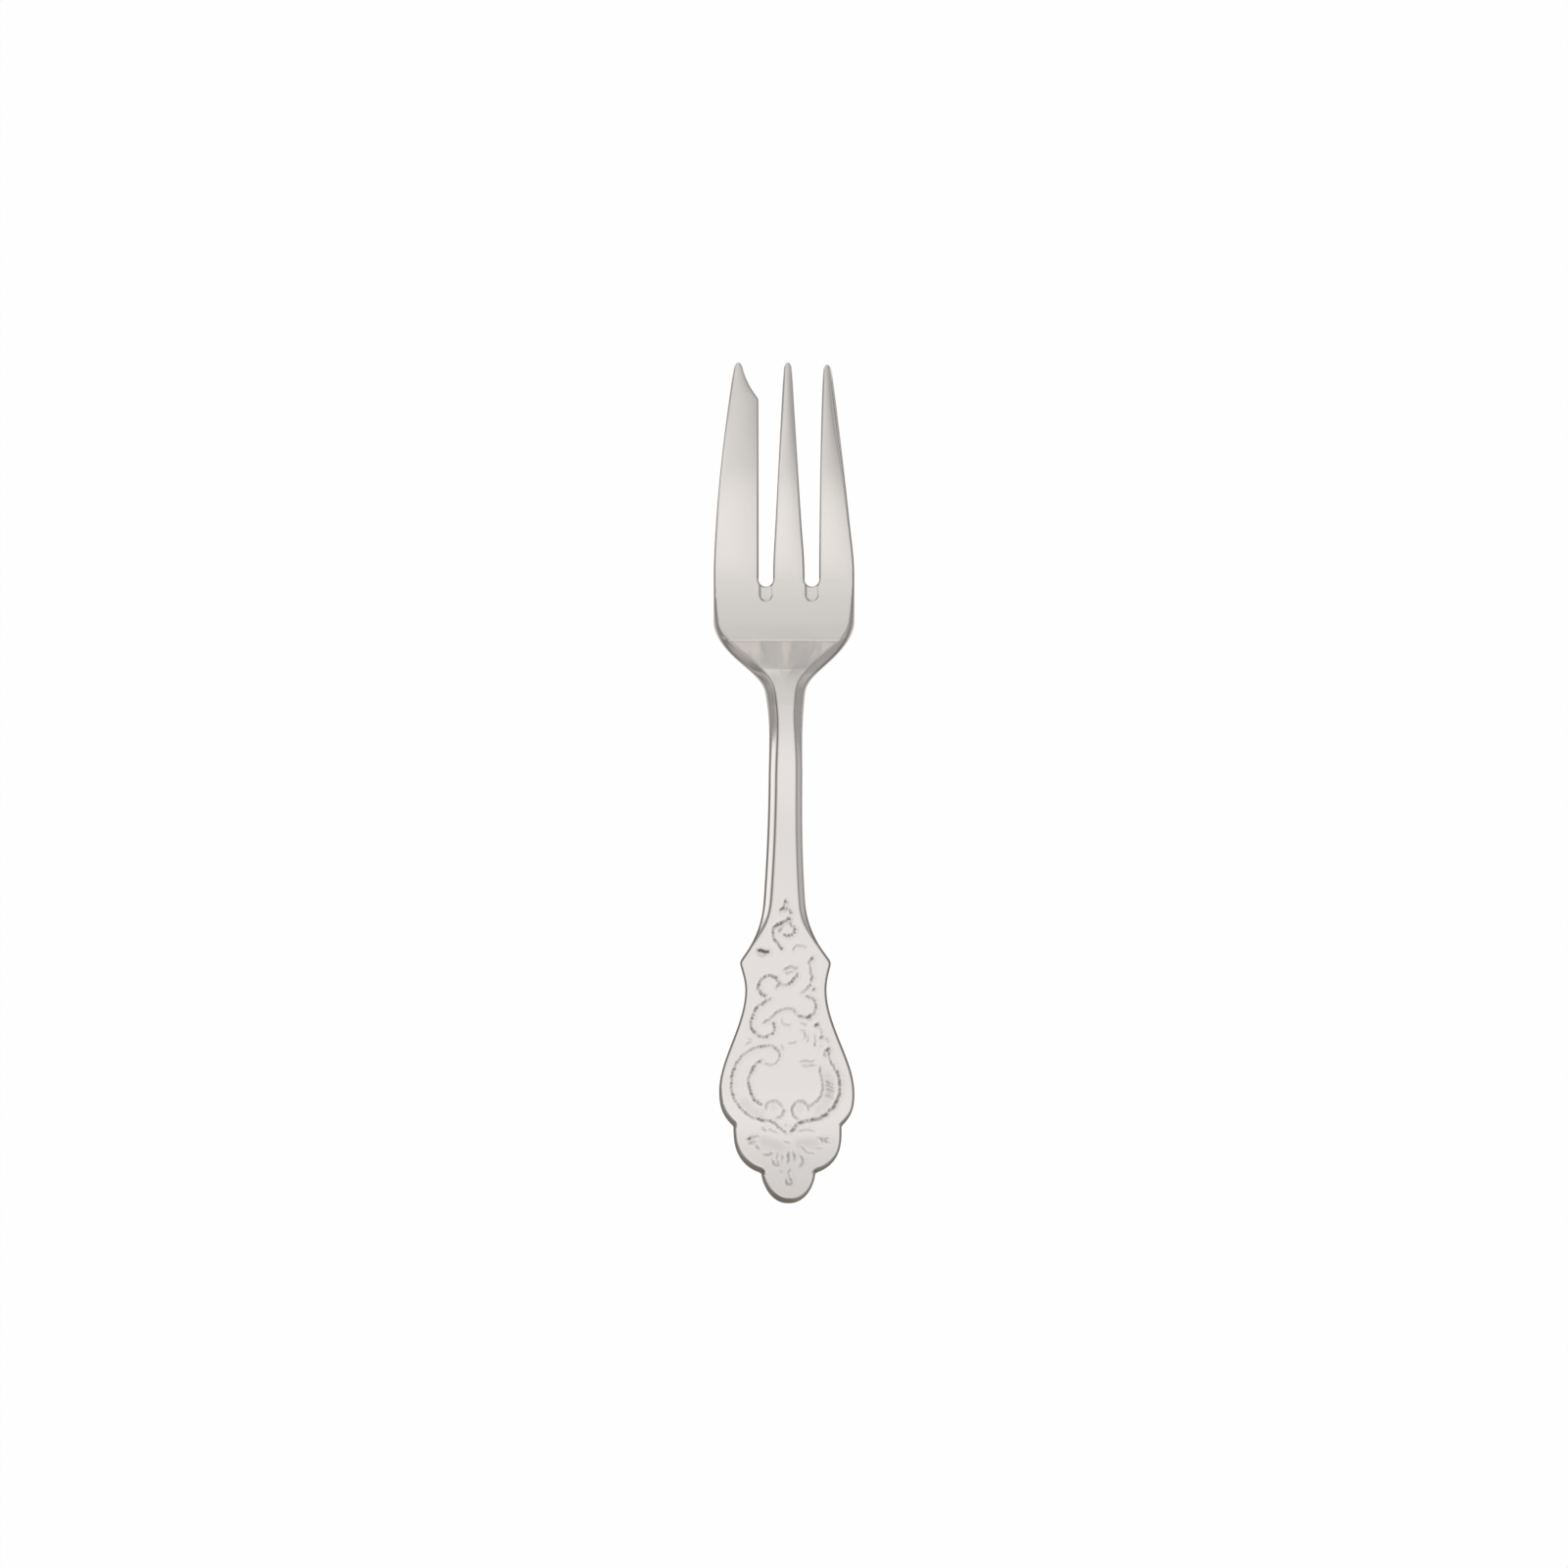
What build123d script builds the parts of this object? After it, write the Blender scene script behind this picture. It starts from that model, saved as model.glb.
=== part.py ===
"""Pastry fork with three tines, a bevelled stem and a lobed handle.

The fork lies on its back with the tine tips up, as on a table. X runs across it, Y along it towards
the tips and Z up from the table. The origin is on the table, under the middle of its length and width.
"""

import os

from build123d import *

# Lengths along the fork in millimetres, in order from the handle's end to the tine tips
end_lobe_length = 5.6
side_lobe_length = 8.6
belly_rise = 6.3
belly_to_waist = 19.0
waist_to_shoulder = 5.1
shoulder_to_stem = 3.9
stem_length = 43.5
head_length = 25.0
tine_length = 38.0

# Widths across the handle, the stem and the neck
end_lobe_width = 10.0
side_lobe_width = 20.0
belly_width = 25.0
waist_width = 15.0
shoulder_width = 17.0
stem_foot_width = 12.1
stem_flare_width = 7.8
stem_width = 6.3
neck_width = 7.0
throat_width = 8.0
shoulder_middle_width = 16.6

# Tines and slots across the head, from the cutting tine's side
cutting_tine_width = 8.3
slot_width = 2.7
middle_tine_width = 5.8
outer_tine_width = 6.5
slot_depth = 5.6
slot_end_slope = 3.1

# Tine tips, and the hollow notch beside the cutting tine's tip
tip_width = 1.4
cutting_tip_lean = 4.6
middle_tip_lean = -0.2
outer_tip_lean = -1.8
outer_tine_shortfall = 0.4
notch_length = 6.5
notch_hollow = 0.5

# Lean of each tine's edges, sideways per length, at its root and at its tip
cutting_edge_leans = (0.03, 0.16)
middle_left_leans = (0.05, 0.06)
middle_right_leans = (-0.07, -0.06)
outer_inner_leans = (0.01, 0.05)
outer_edge_leans = (-0.09, -0.14)

# Lean of the sides of the stem and the head where their width is given
flare_lean = -0.5
flare_end_lean = -0.07
neck_lean = 0.12
throat_lean = 0.3
shoulder_middle_lean = 1.12

# Directions of the handle's outline where it leaves and meets each corner
end_lobe_finish = (0.1, 1)
side_lobe_start = (0.83, 0.55)
side_lobe_finish = (-0.05, 1)
belly_start = (0.61, 0.79)
waist_finish = (0.28, 1)
shoulder_lean = -0.72

# Thickness of the metal, measured upwards
handle_thickness = 1.9
stem_thickness = 2.7
neck_thickness = 3.1
head_thickness = 2.0
tip_thickness = 1.1

# Rounded and bevelled edges
handle_edge = 0.6
stem_bevel = 1.4
shoulder_bevel = 1.5
tine_edge = 0.4
cusp_radius = 0.4
shoulder_radius = 1.2
notch_radius = 0.8
tip_radius = 0.6

# Heights of the underside above the table
end_lift = 1.7
crest_height = 7.1
crest_drop = 0.5
bowl_lift = 0.5
tip_height = 9.0

# Where the underside bends, along the fork
handle_rest = 13.0
handle_bend = 9.0
crest_bend = 15.0
crest_before_head = 5.0
neck_into_head = 2.5
bowl_into_head = 13.5
rest_into_head = 21.6

# Where the stem and the head change width, along each
flare_length = 7.3
narrowest_into_stem = 29.5
throat_into_head = 3.0
shoulder_into_head = 8.0
full_into_head = 15.6

# Places along the fork, worked out from the handle's end
end_cusp = end_lobe_length
side_cusp = end_cusp + side_lobe_length
belly = side_cusp + belly_rise
waist = belly + belly_to_waist
shoulder = waist + waist_to_shoulder
stem_foot = shoulder + shoulder_to_stem
head_start = stem_foot + stem_length
tine_start = head_start + head_length
fork_length = tine_start + tine_length
crest = head_start - crest_before_head
neck_top = head_start + neck_into_head
bowl_edge = head_start + bowl_into_head
neck_middle = (neck_top + bowl_edge) / 2
bowl_rest = head_start + rest_into_head
handle_straight = handle_rest + handle_bend
stem_straight_end = crest - crest_bend
flare_end = stem_foot + flare_length
outer_end = fork_length - outer_tine_shortfall

# Places across the head, worked out from its cutting side
head_width = cutting_tine_width + middle_tine_width + outer_tine_width + 2 * slot_width
head_side = head_width / 2
cutting_inner = cutting_tine_width - head_side
middle_left = cutting_inner + slot_width
middle_right = middle_left + middle_tine_width
outer_inner = middle_right + slot_width
cutting_tip = cutting_tip_lean - head_side
middle_tip = (middle_left + middle_right) / 2 + middle_tip_lean
outer_tip = (outer_inner + head_side) / 2 + outer_tip_lean
tip_side = tip_width / 2

# Underside of the fork: place, height and slope at each bend
straight_run = stem_straight_end - handle_straight
handle_slope = crest_height / (straight_run + (handle_bend + crest_bend) / 2)
underside = [
    (0.0, end_lift, -2 * end_lift / handle_rest),
    (handle_rest, 0.0, 0.0),
    (handle_straight, handle_slope * handle_bend / 2, handle_slope),
    (stem_straight_end, crest_height - handle_slope * crest_bend / 2, handle_slope),
    (crest, crest_height, 0.0),
    (neck_top, crest_height - crest_drop, -2 * crest_drop / (neck_top - crest)),
    (bowl_edge, bowl_lift, -2 * bowl_lift / (bowl_rest - bowl_edge)),
    (bowl_rest, 0.0, 0.0),
    (fork_length, tip_height, 2 * tip_height / (fork_length - bowl_rest)),
]

# Thickness along the fork: it swells from the handle to the neck and thins to the tips
tine_taper = (tip_thickness - head_thickness) / (fork_length - bowl_rest)
thickness = [
    (0.0, handle_thickness, 0.0),
    (stem_foot, handle_thickness, 0.0),
    (crest, stem_thickness, 0.0),
    (neck_middle, neck_thickness, 0.0),
    (bowl_rest, head_thickness, tine_taper),
    (fork_length, tip_thickness, tine_taper),
]

# Half width of the stem and the head, with the lean of each side
half_width = [
    (stem_foot, stem_foot_width / 2, flare_lean),
    (flare_end, stem_flare_width / 2, flare_end_lean),
    (stem_foot + narrowest_into_stem, stem_width / 2, 0.0),
    (head_start, neck_width / 2, neck_lean),
    (head_start + throat_into_head, throat_width / 2, throat_lean),
    (head_start + shoulder_into_head, shoulder_middle_width / 2, shoulder_middle_lean),
    (head_start + full_into_head, head_side, 0.0),
    (tine_start, head_side, 0.0),
]

# Width of the bevel beside the face of the stem and the head
bevel = [
    (stem_foot, handle_edge, 0.1),
    (flare_end, stem_bevel, 0.0),
    (head_start, stem_bevel, 0.0),
    (head_start + shoulder_into_head, shoulder_bevel, 0.0),
    (tine_start, tine_edge, 0.0),
]


def graded(place, knots):
    """Returns the value at a place on a smooth run of knots, each (place, value, slope)."""
    pairs = list(zip(knots, knots[1:]))
    chosen = next((pair for pair in pairs if place <= pair[1][0]), pairs[-1])
    (start, low, low_slope), (end, high, high_slope) = chosen
    run = end - start
    t = (place - start) / run
    ease = t * t * (3 - 2 * t)
    lead = t * (1 - t) ** 2
    trail = t * t * (1 - t)
    return low + (high - low) * ease + run * (low_slope * lead - high_slope * trail)


def back_height(place):
    """Returns the height of the underside at a place along the fork."""
    return graded(place, underside)


def face_height(place):
    """Returns the height of the upper face at a place along the fork."""
    return graded(place, underside) + graded(place, thickness)


def slope_of(height, place):
    """Returns the slope of a height function at a place along the fork."""
    step = 0.001
    return (height(place + step) - height(place - step)) / (2 * step)


def along(start, end, count):
    """Returns evenly spaced places from start to end."""
    return [start + (end - start) * step / (count - 1) for step in range(count)]


def spot(across, place):
    """Returns the plan position at a distance across the fork and a place along it."""
    return (across, place - fork_length / 2)


def side_spot(place, height):
    """Returns the side view position at a place along the fork and a height."""
    return (place - fork_length / 2, height)


def plan_edge(start, end, leans):
    """Draws a smooth plan edge between two (across, place) points, with its lean at each."""
    third = (end[1] - start[1]) / 3
    lead = (start[0] + leans[0] * third, start[1] + third)
    trail = (end[0] - leans[1] * third, end[1] - third)
    return Bezier(spot(*start), spot(*lead), spot(*trail), spot(*end))


def height_edge(start, end, height):
    """Draws the side view of a height function between two places along the fork."""
    third = (end - start) / 3
    lead = height(start) + slope_of(height, start) * third
    trail = height(end) - slope_of(height, end) * third
    return Bezier(
        side_spot(start, height(start)),
        side_spot(start + third, lead),
        side_spot(end - third, trail),
        side_spot(end, height(end)),
    )


def side_view(places):
    """Draws the side view of the metal through the given places along the fork."""
    first, last = places[0], places[-1]
    with BuildSketch(Plane.YZ) as view:
        with BuildLine():
            for start, end in zip(places, places[1:]):
                height_edge(start, end, back_height)
                height_edge(start, end, face_height)
            Line(side_spot(first, back_height(first)), side_spot(first, face_height(first)))
            Line(side_spot(last, back_height(last)), side_spot(last, face_height(last)))
        make_face()
    return view.sketch


def body_section(place):
    """Draws a cross section: a flat face, bevels, upright sides and a rounded back."""
    side = graded(place, half_width)
    edge = graded(place, bevel)
    back = back_height(place)
    face = face_height(place)
    drop = min(edge, 0.45 * (face - back))
    bulge = 0.34
    mid_side = side - bulge * edge
    with BuildSketch(Plane.XZ.offset(fork_length / 2 - place)) as section:
        with BuildLine():
            Line((edge - side, face), (side - edge, face))
            ThreePointArc((side - edge, face), (mid_side, face - bulge * drop), (side, face - drop))
            Line((side, face - drop), (side, back + drop))
            ThreePointArc((side, back + drop), (mid_side, back + bulge * drop), (side - edge, back))
            Line((side - edge, back), (edge - side, back))
            ThreePointArc((edge - side, back), (-mid_side, back + bulge * drop), (-side, back + drop))
            Line((-side, back + drop), (-side, face - drop))
            ThreePointArc((-side, face - drop), (-mid_side, face - bulge * drop), (edge - side, face))
        make_face()
    return section.sketch


def slot_cut(across, level):
    """Draws one slot between two tines at a height; its end leans back towards the underside."""
    reach = 2 * head_length
    lean = slot_end_slope * (head_thickness - level) / head_thickness
    centre = tine_start - slot_depth + slot_width / 2 + lean
    with BuildSketch(Plane.XY.offset(level)) as cut:
        with Locations(spot(across, centre + reach / 2)):
            SlotCenterToCenter(reach, slot_width, rotation=90)
    return cut.sketch


def broad_edges(shape):
    """Returns the edges around the face and the back of a piece."""
    return shape.faces().sort_by(SortBy.AREA)[-2:].edges()


def free_rim(shape, joint):
    """Returns the edges around the face and the back that aren't in the joint plane."""
    level = spot(0, joint)[1]
    return broad_edges(shape).filter_by(lambda edge: abs(edge.center().Y - level) > tolerance)


def slot_rim(shape):
    """Returns the edges where the slots meet the face and the back of the head."""
    lowest = spot(0, tine_start - slot_depth - slot_width)[1]
    highest = spot(0, tine_start)[1] - tolerance
    return broad_edges(shape).filter_by_position(Axis.Y, lowest, highest)


def corner_edge(shape, across, place):
    """Returns the upright edge nearest to a plan position."""
    return shape.edges().filter_by(Axis.Z).sort_by_distance(spot(across, place))[0]


tolerance = 0.01
clear_height = tip_height + 2 * neck_thickness
tine_side = side_view([tine_start, fork_length])

with BuildPart() as handle:
    with BuildSketch():
        with BuildLine():
            end_corner = spot(end_lobe_width / 2, end_cusp)
            side_corner = spot(side_lobe_width / 2, side_cusp)
            shoulder_corner = spot(shoulder_width / 2, shoulder)
            Spline(spot(0, 0), end_corner, tangents=((1, 0), end_lobe_finish))
            Spline(end_corner, side_corner, tangents=(side_lobe_start, side_lobe_finish))
            Spline(
                side_corner,
                spot(belly_width / 2, belly),
                spot(waist_width / 2, waist),
                shoulder_corner,
                tangents=(belly_start, (0, 1), (0, 1), waist_finish),
            )
            foot = (stem_foot_width / 2, stem_foot)
            plan_edge((shoulder_width / 2, shoulder), foot, (shoulder_lean, flare_lean))
            Line(spot(*foot), spot(0, stem_foot))
            mirror(about=Plane.YZ)
        make_face()
    extrude(amount=clear_height)
    for hand in (1, -1):
        fillet(corner_edge(handle, hand * end_lobe_width / 2, end_cusp), cusp_radius)
        fillet(corner_edge(handle, hand * side_lobe_width / 2, side_cusp), cusp_radius)
        fillet(corner_edge(handle, hand * shoulder_width / 2, shoulder), shoulder_radius)
    handle_side = side_view([0.0, handle_rest, handle_straight, stem_foot])
    extrude(handle_side, amount=belly_width, both=True, mode=Mode.INTERSECT)
    fillet(free_rim(handle, stem_foot), handle_edge)
handle.part.label = "handle"

with BuildPart() as stem:
    loft([body_section(place) for place in along(stem_foot, head_start, 9)])
stem.part.label = "stem"

with BuildPart() as head:
    loft([body_section(place) for place in along(head_start, tine_start, 18)])
    for slot_middle in (cutting_inner + slot_width / 2, middle_right + slot_width / 2):
        loft([slot_cut(slot_middle, -head_thickness), slot_cut(slot_middle, 3 * head_thickness)],
             mode=Mode.SUBTRACT)
    fillet(slot_rim(head), tine_edge)
head.part.label = "head"

with BuildPart() as cutting_tine:
    with BuildSketch():
        with BuildLine():
            tip_left = (cutting_tip - tip_side, fork_length)
            tip_right = (cutting_tip + tip_side, fork_length)
            notch = (cutting_inner, fork_length - notch_length)
            plan_edge((-head_side, tine_start), tip_left, cutting_edge_leans)
            Line(spot(*tip_left), spot(*tip_right))
            SagittaArc(spot(*tip_right), spot(*notch), -notch_hollow)
            Line(spot(*notch), spot(cutting_inner, tine_start))
            Line(spot(cutting_inner, tine_start), spot(-head_side, tine_start))
        make_face()
    extrude(amount=clear_height)
    fillet(corner_edge(cutting_tine, *notch), notch_radius)
    fillet([corner_edge(cutting_tine, *tip_left), corner_edge(cutting_tine, *tip_right)], tip_radius)
    extrude(tine_side, amount=head_width, both=True, mode=Mode.INTERSECT)
    fillet(free_rim(cutting_tine, tine_start), tine_edge)
cutting_tine.part.label = "cutting_tine"

with BuildPart() as middle_tine:
    with BuildSketch():
        with BuildLine():
            tip_left = (middle_tip - tip_side, fork_length)
            tip_right = (middle_tip + tip_side, fork_length)
            plan_edge((middle_left, tine_start), tip_left, middle_left_leans)
            Line(spot(*tip_left), spot(*tip_right))
            plan_edge((middle_right, tine_start), tip_right, middle_right_leans)
            Line(spot(middle_right, tine_start), spot(middle_left, tine_start))
        make_face()
    extrude(amount=clear_height)
    fillet([corner_edge(middle_tine, *tip_left), corner_edge(middle_tine, *tip_right)], tip_radius)
    extrude(tine_side, amount=head_width, both=True, mode=Mode.INTERSECT)
    fillet(free_rim(middle_tine, tine_start), tine_edge)
middle_tine.part.label = "middle_tine"

with BuildPart() as outer_tine:
    with BuildSketch():
        with BuildLine():
            tip_left = (outer_tip - tip_side, outer_end)
            tip_right = (outer_tip + tip_side, outer_end)
            plan_edge((outer_inner, tine_start), tip_left, outer_inner_leans)
            Line(spot(*tip_left), spot(*tip_right))
            plan_edge((head_side, tine_start), tip_right, outer_edge_leans)
            Line(spot(head_side, tine_start), spot(outer_inner, tine_start))
        make_face()
    extrude(amount=clear_height)
    fillet([corner_edge(outer_tine, *tip_left), corner_edge(outer_tine, *tip_right)], tip_radius)
    extrude(tine_side, amount=head_width, both=True, mode=Mode.INTERSECT)
    fillet(free_rim(outer_tine, tine_start), tine_edge)
outer_tine.part.label = "outer_tine"

os.makedirs("parts", exist_ok=True)
for piece in (handle, stem, head, cutting_tine, middle_tine, outer_tine):
    export_step(piece.part, f"parts/{piece.part.label}.step")
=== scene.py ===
"""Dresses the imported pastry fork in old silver.

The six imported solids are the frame, and each is replaced by a surface worked out on a grid: the
handle and the stem share one sheet, and the head and its three tines another. Sizes are in
millimetres, with places measured along the fork from the end of its handle. They become metres in
the frame only when a mesh is made.
"""

import logging
import math
from dataclasses import dataclass, field
from enum import Enum
from typing import Any, Mapping, Sequence

import bmesh
import bpy
import numpy as np
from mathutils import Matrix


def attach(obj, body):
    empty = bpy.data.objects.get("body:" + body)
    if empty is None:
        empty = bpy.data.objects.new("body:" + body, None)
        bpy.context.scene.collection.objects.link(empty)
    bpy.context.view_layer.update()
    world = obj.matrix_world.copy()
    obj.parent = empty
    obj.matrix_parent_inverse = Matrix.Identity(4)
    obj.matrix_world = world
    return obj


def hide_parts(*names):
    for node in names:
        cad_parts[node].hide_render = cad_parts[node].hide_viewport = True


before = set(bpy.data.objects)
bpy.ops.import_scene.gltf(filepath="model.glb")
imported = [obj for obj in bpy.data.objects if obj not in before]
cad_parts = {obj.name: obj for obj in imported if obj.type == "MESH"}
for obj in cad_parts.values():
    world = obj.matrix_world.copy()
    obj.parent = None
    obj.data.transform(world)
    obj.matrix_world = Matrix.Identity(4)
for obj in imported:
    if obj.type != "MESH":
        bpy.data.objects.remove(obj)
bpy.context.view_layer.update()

log = logging.getLogger("pastry_fork")

Array = np.ndarray
Knot = tuple[float, float] | tuple[float, float, float]
Point = tuple[float, float]

MM = 0.001
FORK_LENGTH = 155.0
MIDDLE = FORK_LENGTH / 2
BODY = "root"
# Attribute of each piece's darkening: tarnish in the cuts, and painted shade on rims, creases, the
# neck and the facet.
TARNISH_AND_SHADE = "tarnish_and_shade"
WHITE = "#FFFFFF"
# A Mix node has sockets of the same name for each kind of value, so its colour sockets go by number.
MIX_SHARE, MIX_FIRST, MIX_SECOND, MIX_COLOUR = 0, 6, 7, 2
# Where the stem ends and the head begins.
HEAD_START = 92.0
# No stroke of the ornament is longer than this.
MOST_LENGTH = 80.0
# Points closer than this are one point.
MERGE_GAP = 0.0004
# Columns over an edge, as shares of its width from the rim.
EDGE_COLUMNS = (0.0, 0.04, 0.1, 0.18, 0.28, 0.4, 0.55, 0.7, 0.8, 0.88, 0.95, 1.0, 1.06)
# Shares of its reach over which the tarnish and painted shade of a side wall fade into the polish.
RIM_FADE_START, RIM_FADE_END = 0.75, 1.15
# Share of a bevel's width, from the rim, at which a line of painted shade runs along its crease.
CREASE = 0.87
# Faces that meet at more than this show a hard line between them.
HARD_ANGLE = math.radians(42.0)
# The old fork's shank isn't quite straight: its axis wanders this far to the right of the head's.
SWAY_KNOTS: tuple[Knot, ...] = (
    (0.0, 0.82), (20.0, 0.52, -0.015), (38.0, 0.35), (55.0, 0.08), (88.0, 0.34), (104.0, 0.0),
)


def graded(place: Array, knots: Sequence[Knot]) -> Array:
    """Follow a law that is known at a few places.

    Formula: between two knots the value is the Hermite cubic that has their values and slopes, and
    beyond the last knots it stays level.

    Args:
        place: Places along the fork.
        knots: Place, value and slope of each knot, in order. A slope of 0 is left out.

    Returns:
        The law's value at each place.
    """
    places, values, slopes = np.array([(*knot, 0.0)[:3] for knot in knots], float).T
    index = np.clip(np.searchsorted(places, place, side="right") - 1, 0, len(places) - 2)
    span = places[index + 1] - places[index]
    part = np.clip((place - places[index]) / span, 0.0, 1.0)
    rest = 1.0 - part
    start = rest**2 * ((1.0 + 2.0 * part) * values[index] + part * span * slopes[index])
    end = part**2 * ((1.0 + 2.0 * rest) * values[index + 1] - rest * span * slopes[index + 1])
    return start + end


def beside(x: Array, place: Array, path: Array) -> tuple[Array, Array]:
    """Find where each point lies beside a line, seen from above.

    Formula: the least of the distances to the straight pieces of the line, and the length of the
    line up to the nearest point on it.

    Args:
        x: Sideways places of the points.
        place: Places of the points along the fork.
        path: The line as rows of x and place.

    Returns:
        The distance from the line, and the length along it.
    """
    nearest = np.full(np.broadcast(x, place).shape, np.inf)
    along = np.zeros(nearest.shape)
    length = 0.0
    for start, end in zip(path[:-1], path[1:]):
        run = end - start
        reach = float(np.hypot(*run))
        if reach > 0.0:
            part = ((x - start[0]) * run[0] + (place - start[1]) * run[1]) / reach**2
            part = np.clip(part, 0.0, 1.0)
            gap = np.hypot(x - start[0] - part * run[0], place - start[1] - part * run[1])
            closer = gap < nearest
            nearest = np.where(closer, gap, nearest)
            along = np.where(closer, length + part * reach, along)
            length += reach
    return nearest, along


def edge_drop(distance: Array, width: Array, inner: Array, outer: Array) -> Array:
    """Find how far an edge has fallen away from the face.

    Formula: the edge is an arc whose tilt grows from the inner angle at its start to the outer
    angle at the rim, so the sine of the tilt is straight in the distance from the rim.

    Args:
        distance: Distance from the rim.
        width: Width of the edge.
        inner: Tilt where the edge starts, in degrees.
        outer: Tilt at the rim, in degrees.

    Returns:
        The fall at each point, which is 0 on the face.
    """
    low = np.sin(np.radians(inner))
    high = np.sin(np.radians(outer))
    radius = width / (high - low)
    part = np.clip(distance / width, 0.0, 1.0)
    sine = high - (high - low) * part
    return radius * (np.cos(np.radians(inner)) - np.sqrt(1.0 - sine**2))


def smooth_path(points: Sequence[Point], steps: int = 8) -> Array:
    """Draw a smooth line through a stroke's points.

    Formula: the Catmull-Rom cubic from each point to the next, whose slope at a point is half the
    way between its neighbours.

    Args:
        points: Points of the stroke.
        steps: Short straight pieces from one point to the next.

    Returns:
        The line as rows of x and place.
    """
    corners = np.array(points, float)
    slopes = np.gradient(corners, axis=0)
    part = np.linspace(0.0, 1.0, steps, endpoint=False)[:, None]
    rest = 1.0 - part
    pieces = [
        rest**2 * ((1.0 + 2.0 * part) * corners[k] + part * slopes[k])
        + part**2 * ((1.0 + 2.0 * rest) * corners[k + 1] - rest * slopes[k + 1])
        for k in range(len(corners) - 1)
    ]
    return np.vstack([*pieces, corners[-1:]])


def softened(values: Array, step: float, length: float) -> Array:
    """Round the corners of a law by averaging it.

    Formula: a running mean with a raised-cosine weight of the given length.

    Args:
        values: The law on an even ladder of places.
        step: Distance between the ladder's places.
        length: Length that the mean covers.

    Returns:
        The rounded law on the same ladder.
    """
    weight = np.hanning(int(length / step) | 1)
    half = len(weight) // 2
    return np.convolve(np.pad(values, half, mode="edge"), weight / weight.sum(), mode="valid")


def spread(left: Array, right: Array, left_edge: Array, right_edge: Array, inner: int) -> Array:
    """Set the columns of a sheet, close together on its two edges and even between them.

    Args:
        left: Left rim at each row.
        right: Right rim at each row.
        left_edge: Width of the left edge at each row.
        right_edge: Width of the right edge at each row.
        inner: Number of columns between the edges.

    Returns:
        Sideways places as rows by columns.
    """
    from_left = left[:, None] + left_edge[:, None] * np.array(EDGE_COLUMNS)
    from_right = right[:, None] - right_edge[:, None] * np.array(EDGE_COLUMNS)
    part = np.linspace(0.0, 1.0, inner + 2)[1:-1]
    between = from_left[:, -1:] + (from_right[:, -1:] - from_left[:, -1:]) * part
    return np.hstack([from_left, between, from_right[:, ::-1]])


def linear(colour: str) -> tuple[float, float, float, float]:
    """Turn a hex colour into the linear colour that a socket takes.

    Formula: the sRGB curve, which is straight near black and then a power.

    Args:
        colour: sRGB colour as "#RRGGBB".

    Returns:
        Linear red, green and blue, and an alpha of 1.
    """
    code = np.array([int(colour[k:k + 2], 16) for k in (1, 3, 5)]) / 255.0
    light = np.where(code <= 0.04045, code / 12.92, ((code + 0.055) / 1.055) ** 2.4)
    return (*light.tolist(), 1.0)


def add_node(
    tree: bpy.types.NodeTree, kind: str, feeds: Mapping[str | int, Any], **settings: Any
) -> bpy.types.Node:
    """Add a node with its settings and links.

    Args:
        tree: Node tree that gets the node.
        kind: Blender's name of the node type.
        feeds: Input socket to a plain value, or to the output socket that feeds it.
        settings: Properties of the node itself.

    Returns:
        The new node.
    """
    node = tree.nodes.new(kind)
    for name, value in settings.items():
        setattr(node, name, value)
    for socket, value in feeds.items():
        if isinstance(value, bpy.types.NodeSocket):
            tree.links.new(value, node.inputs[socket])
        else:
            node.inputs[socket].default_value = value
    return node


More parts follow.
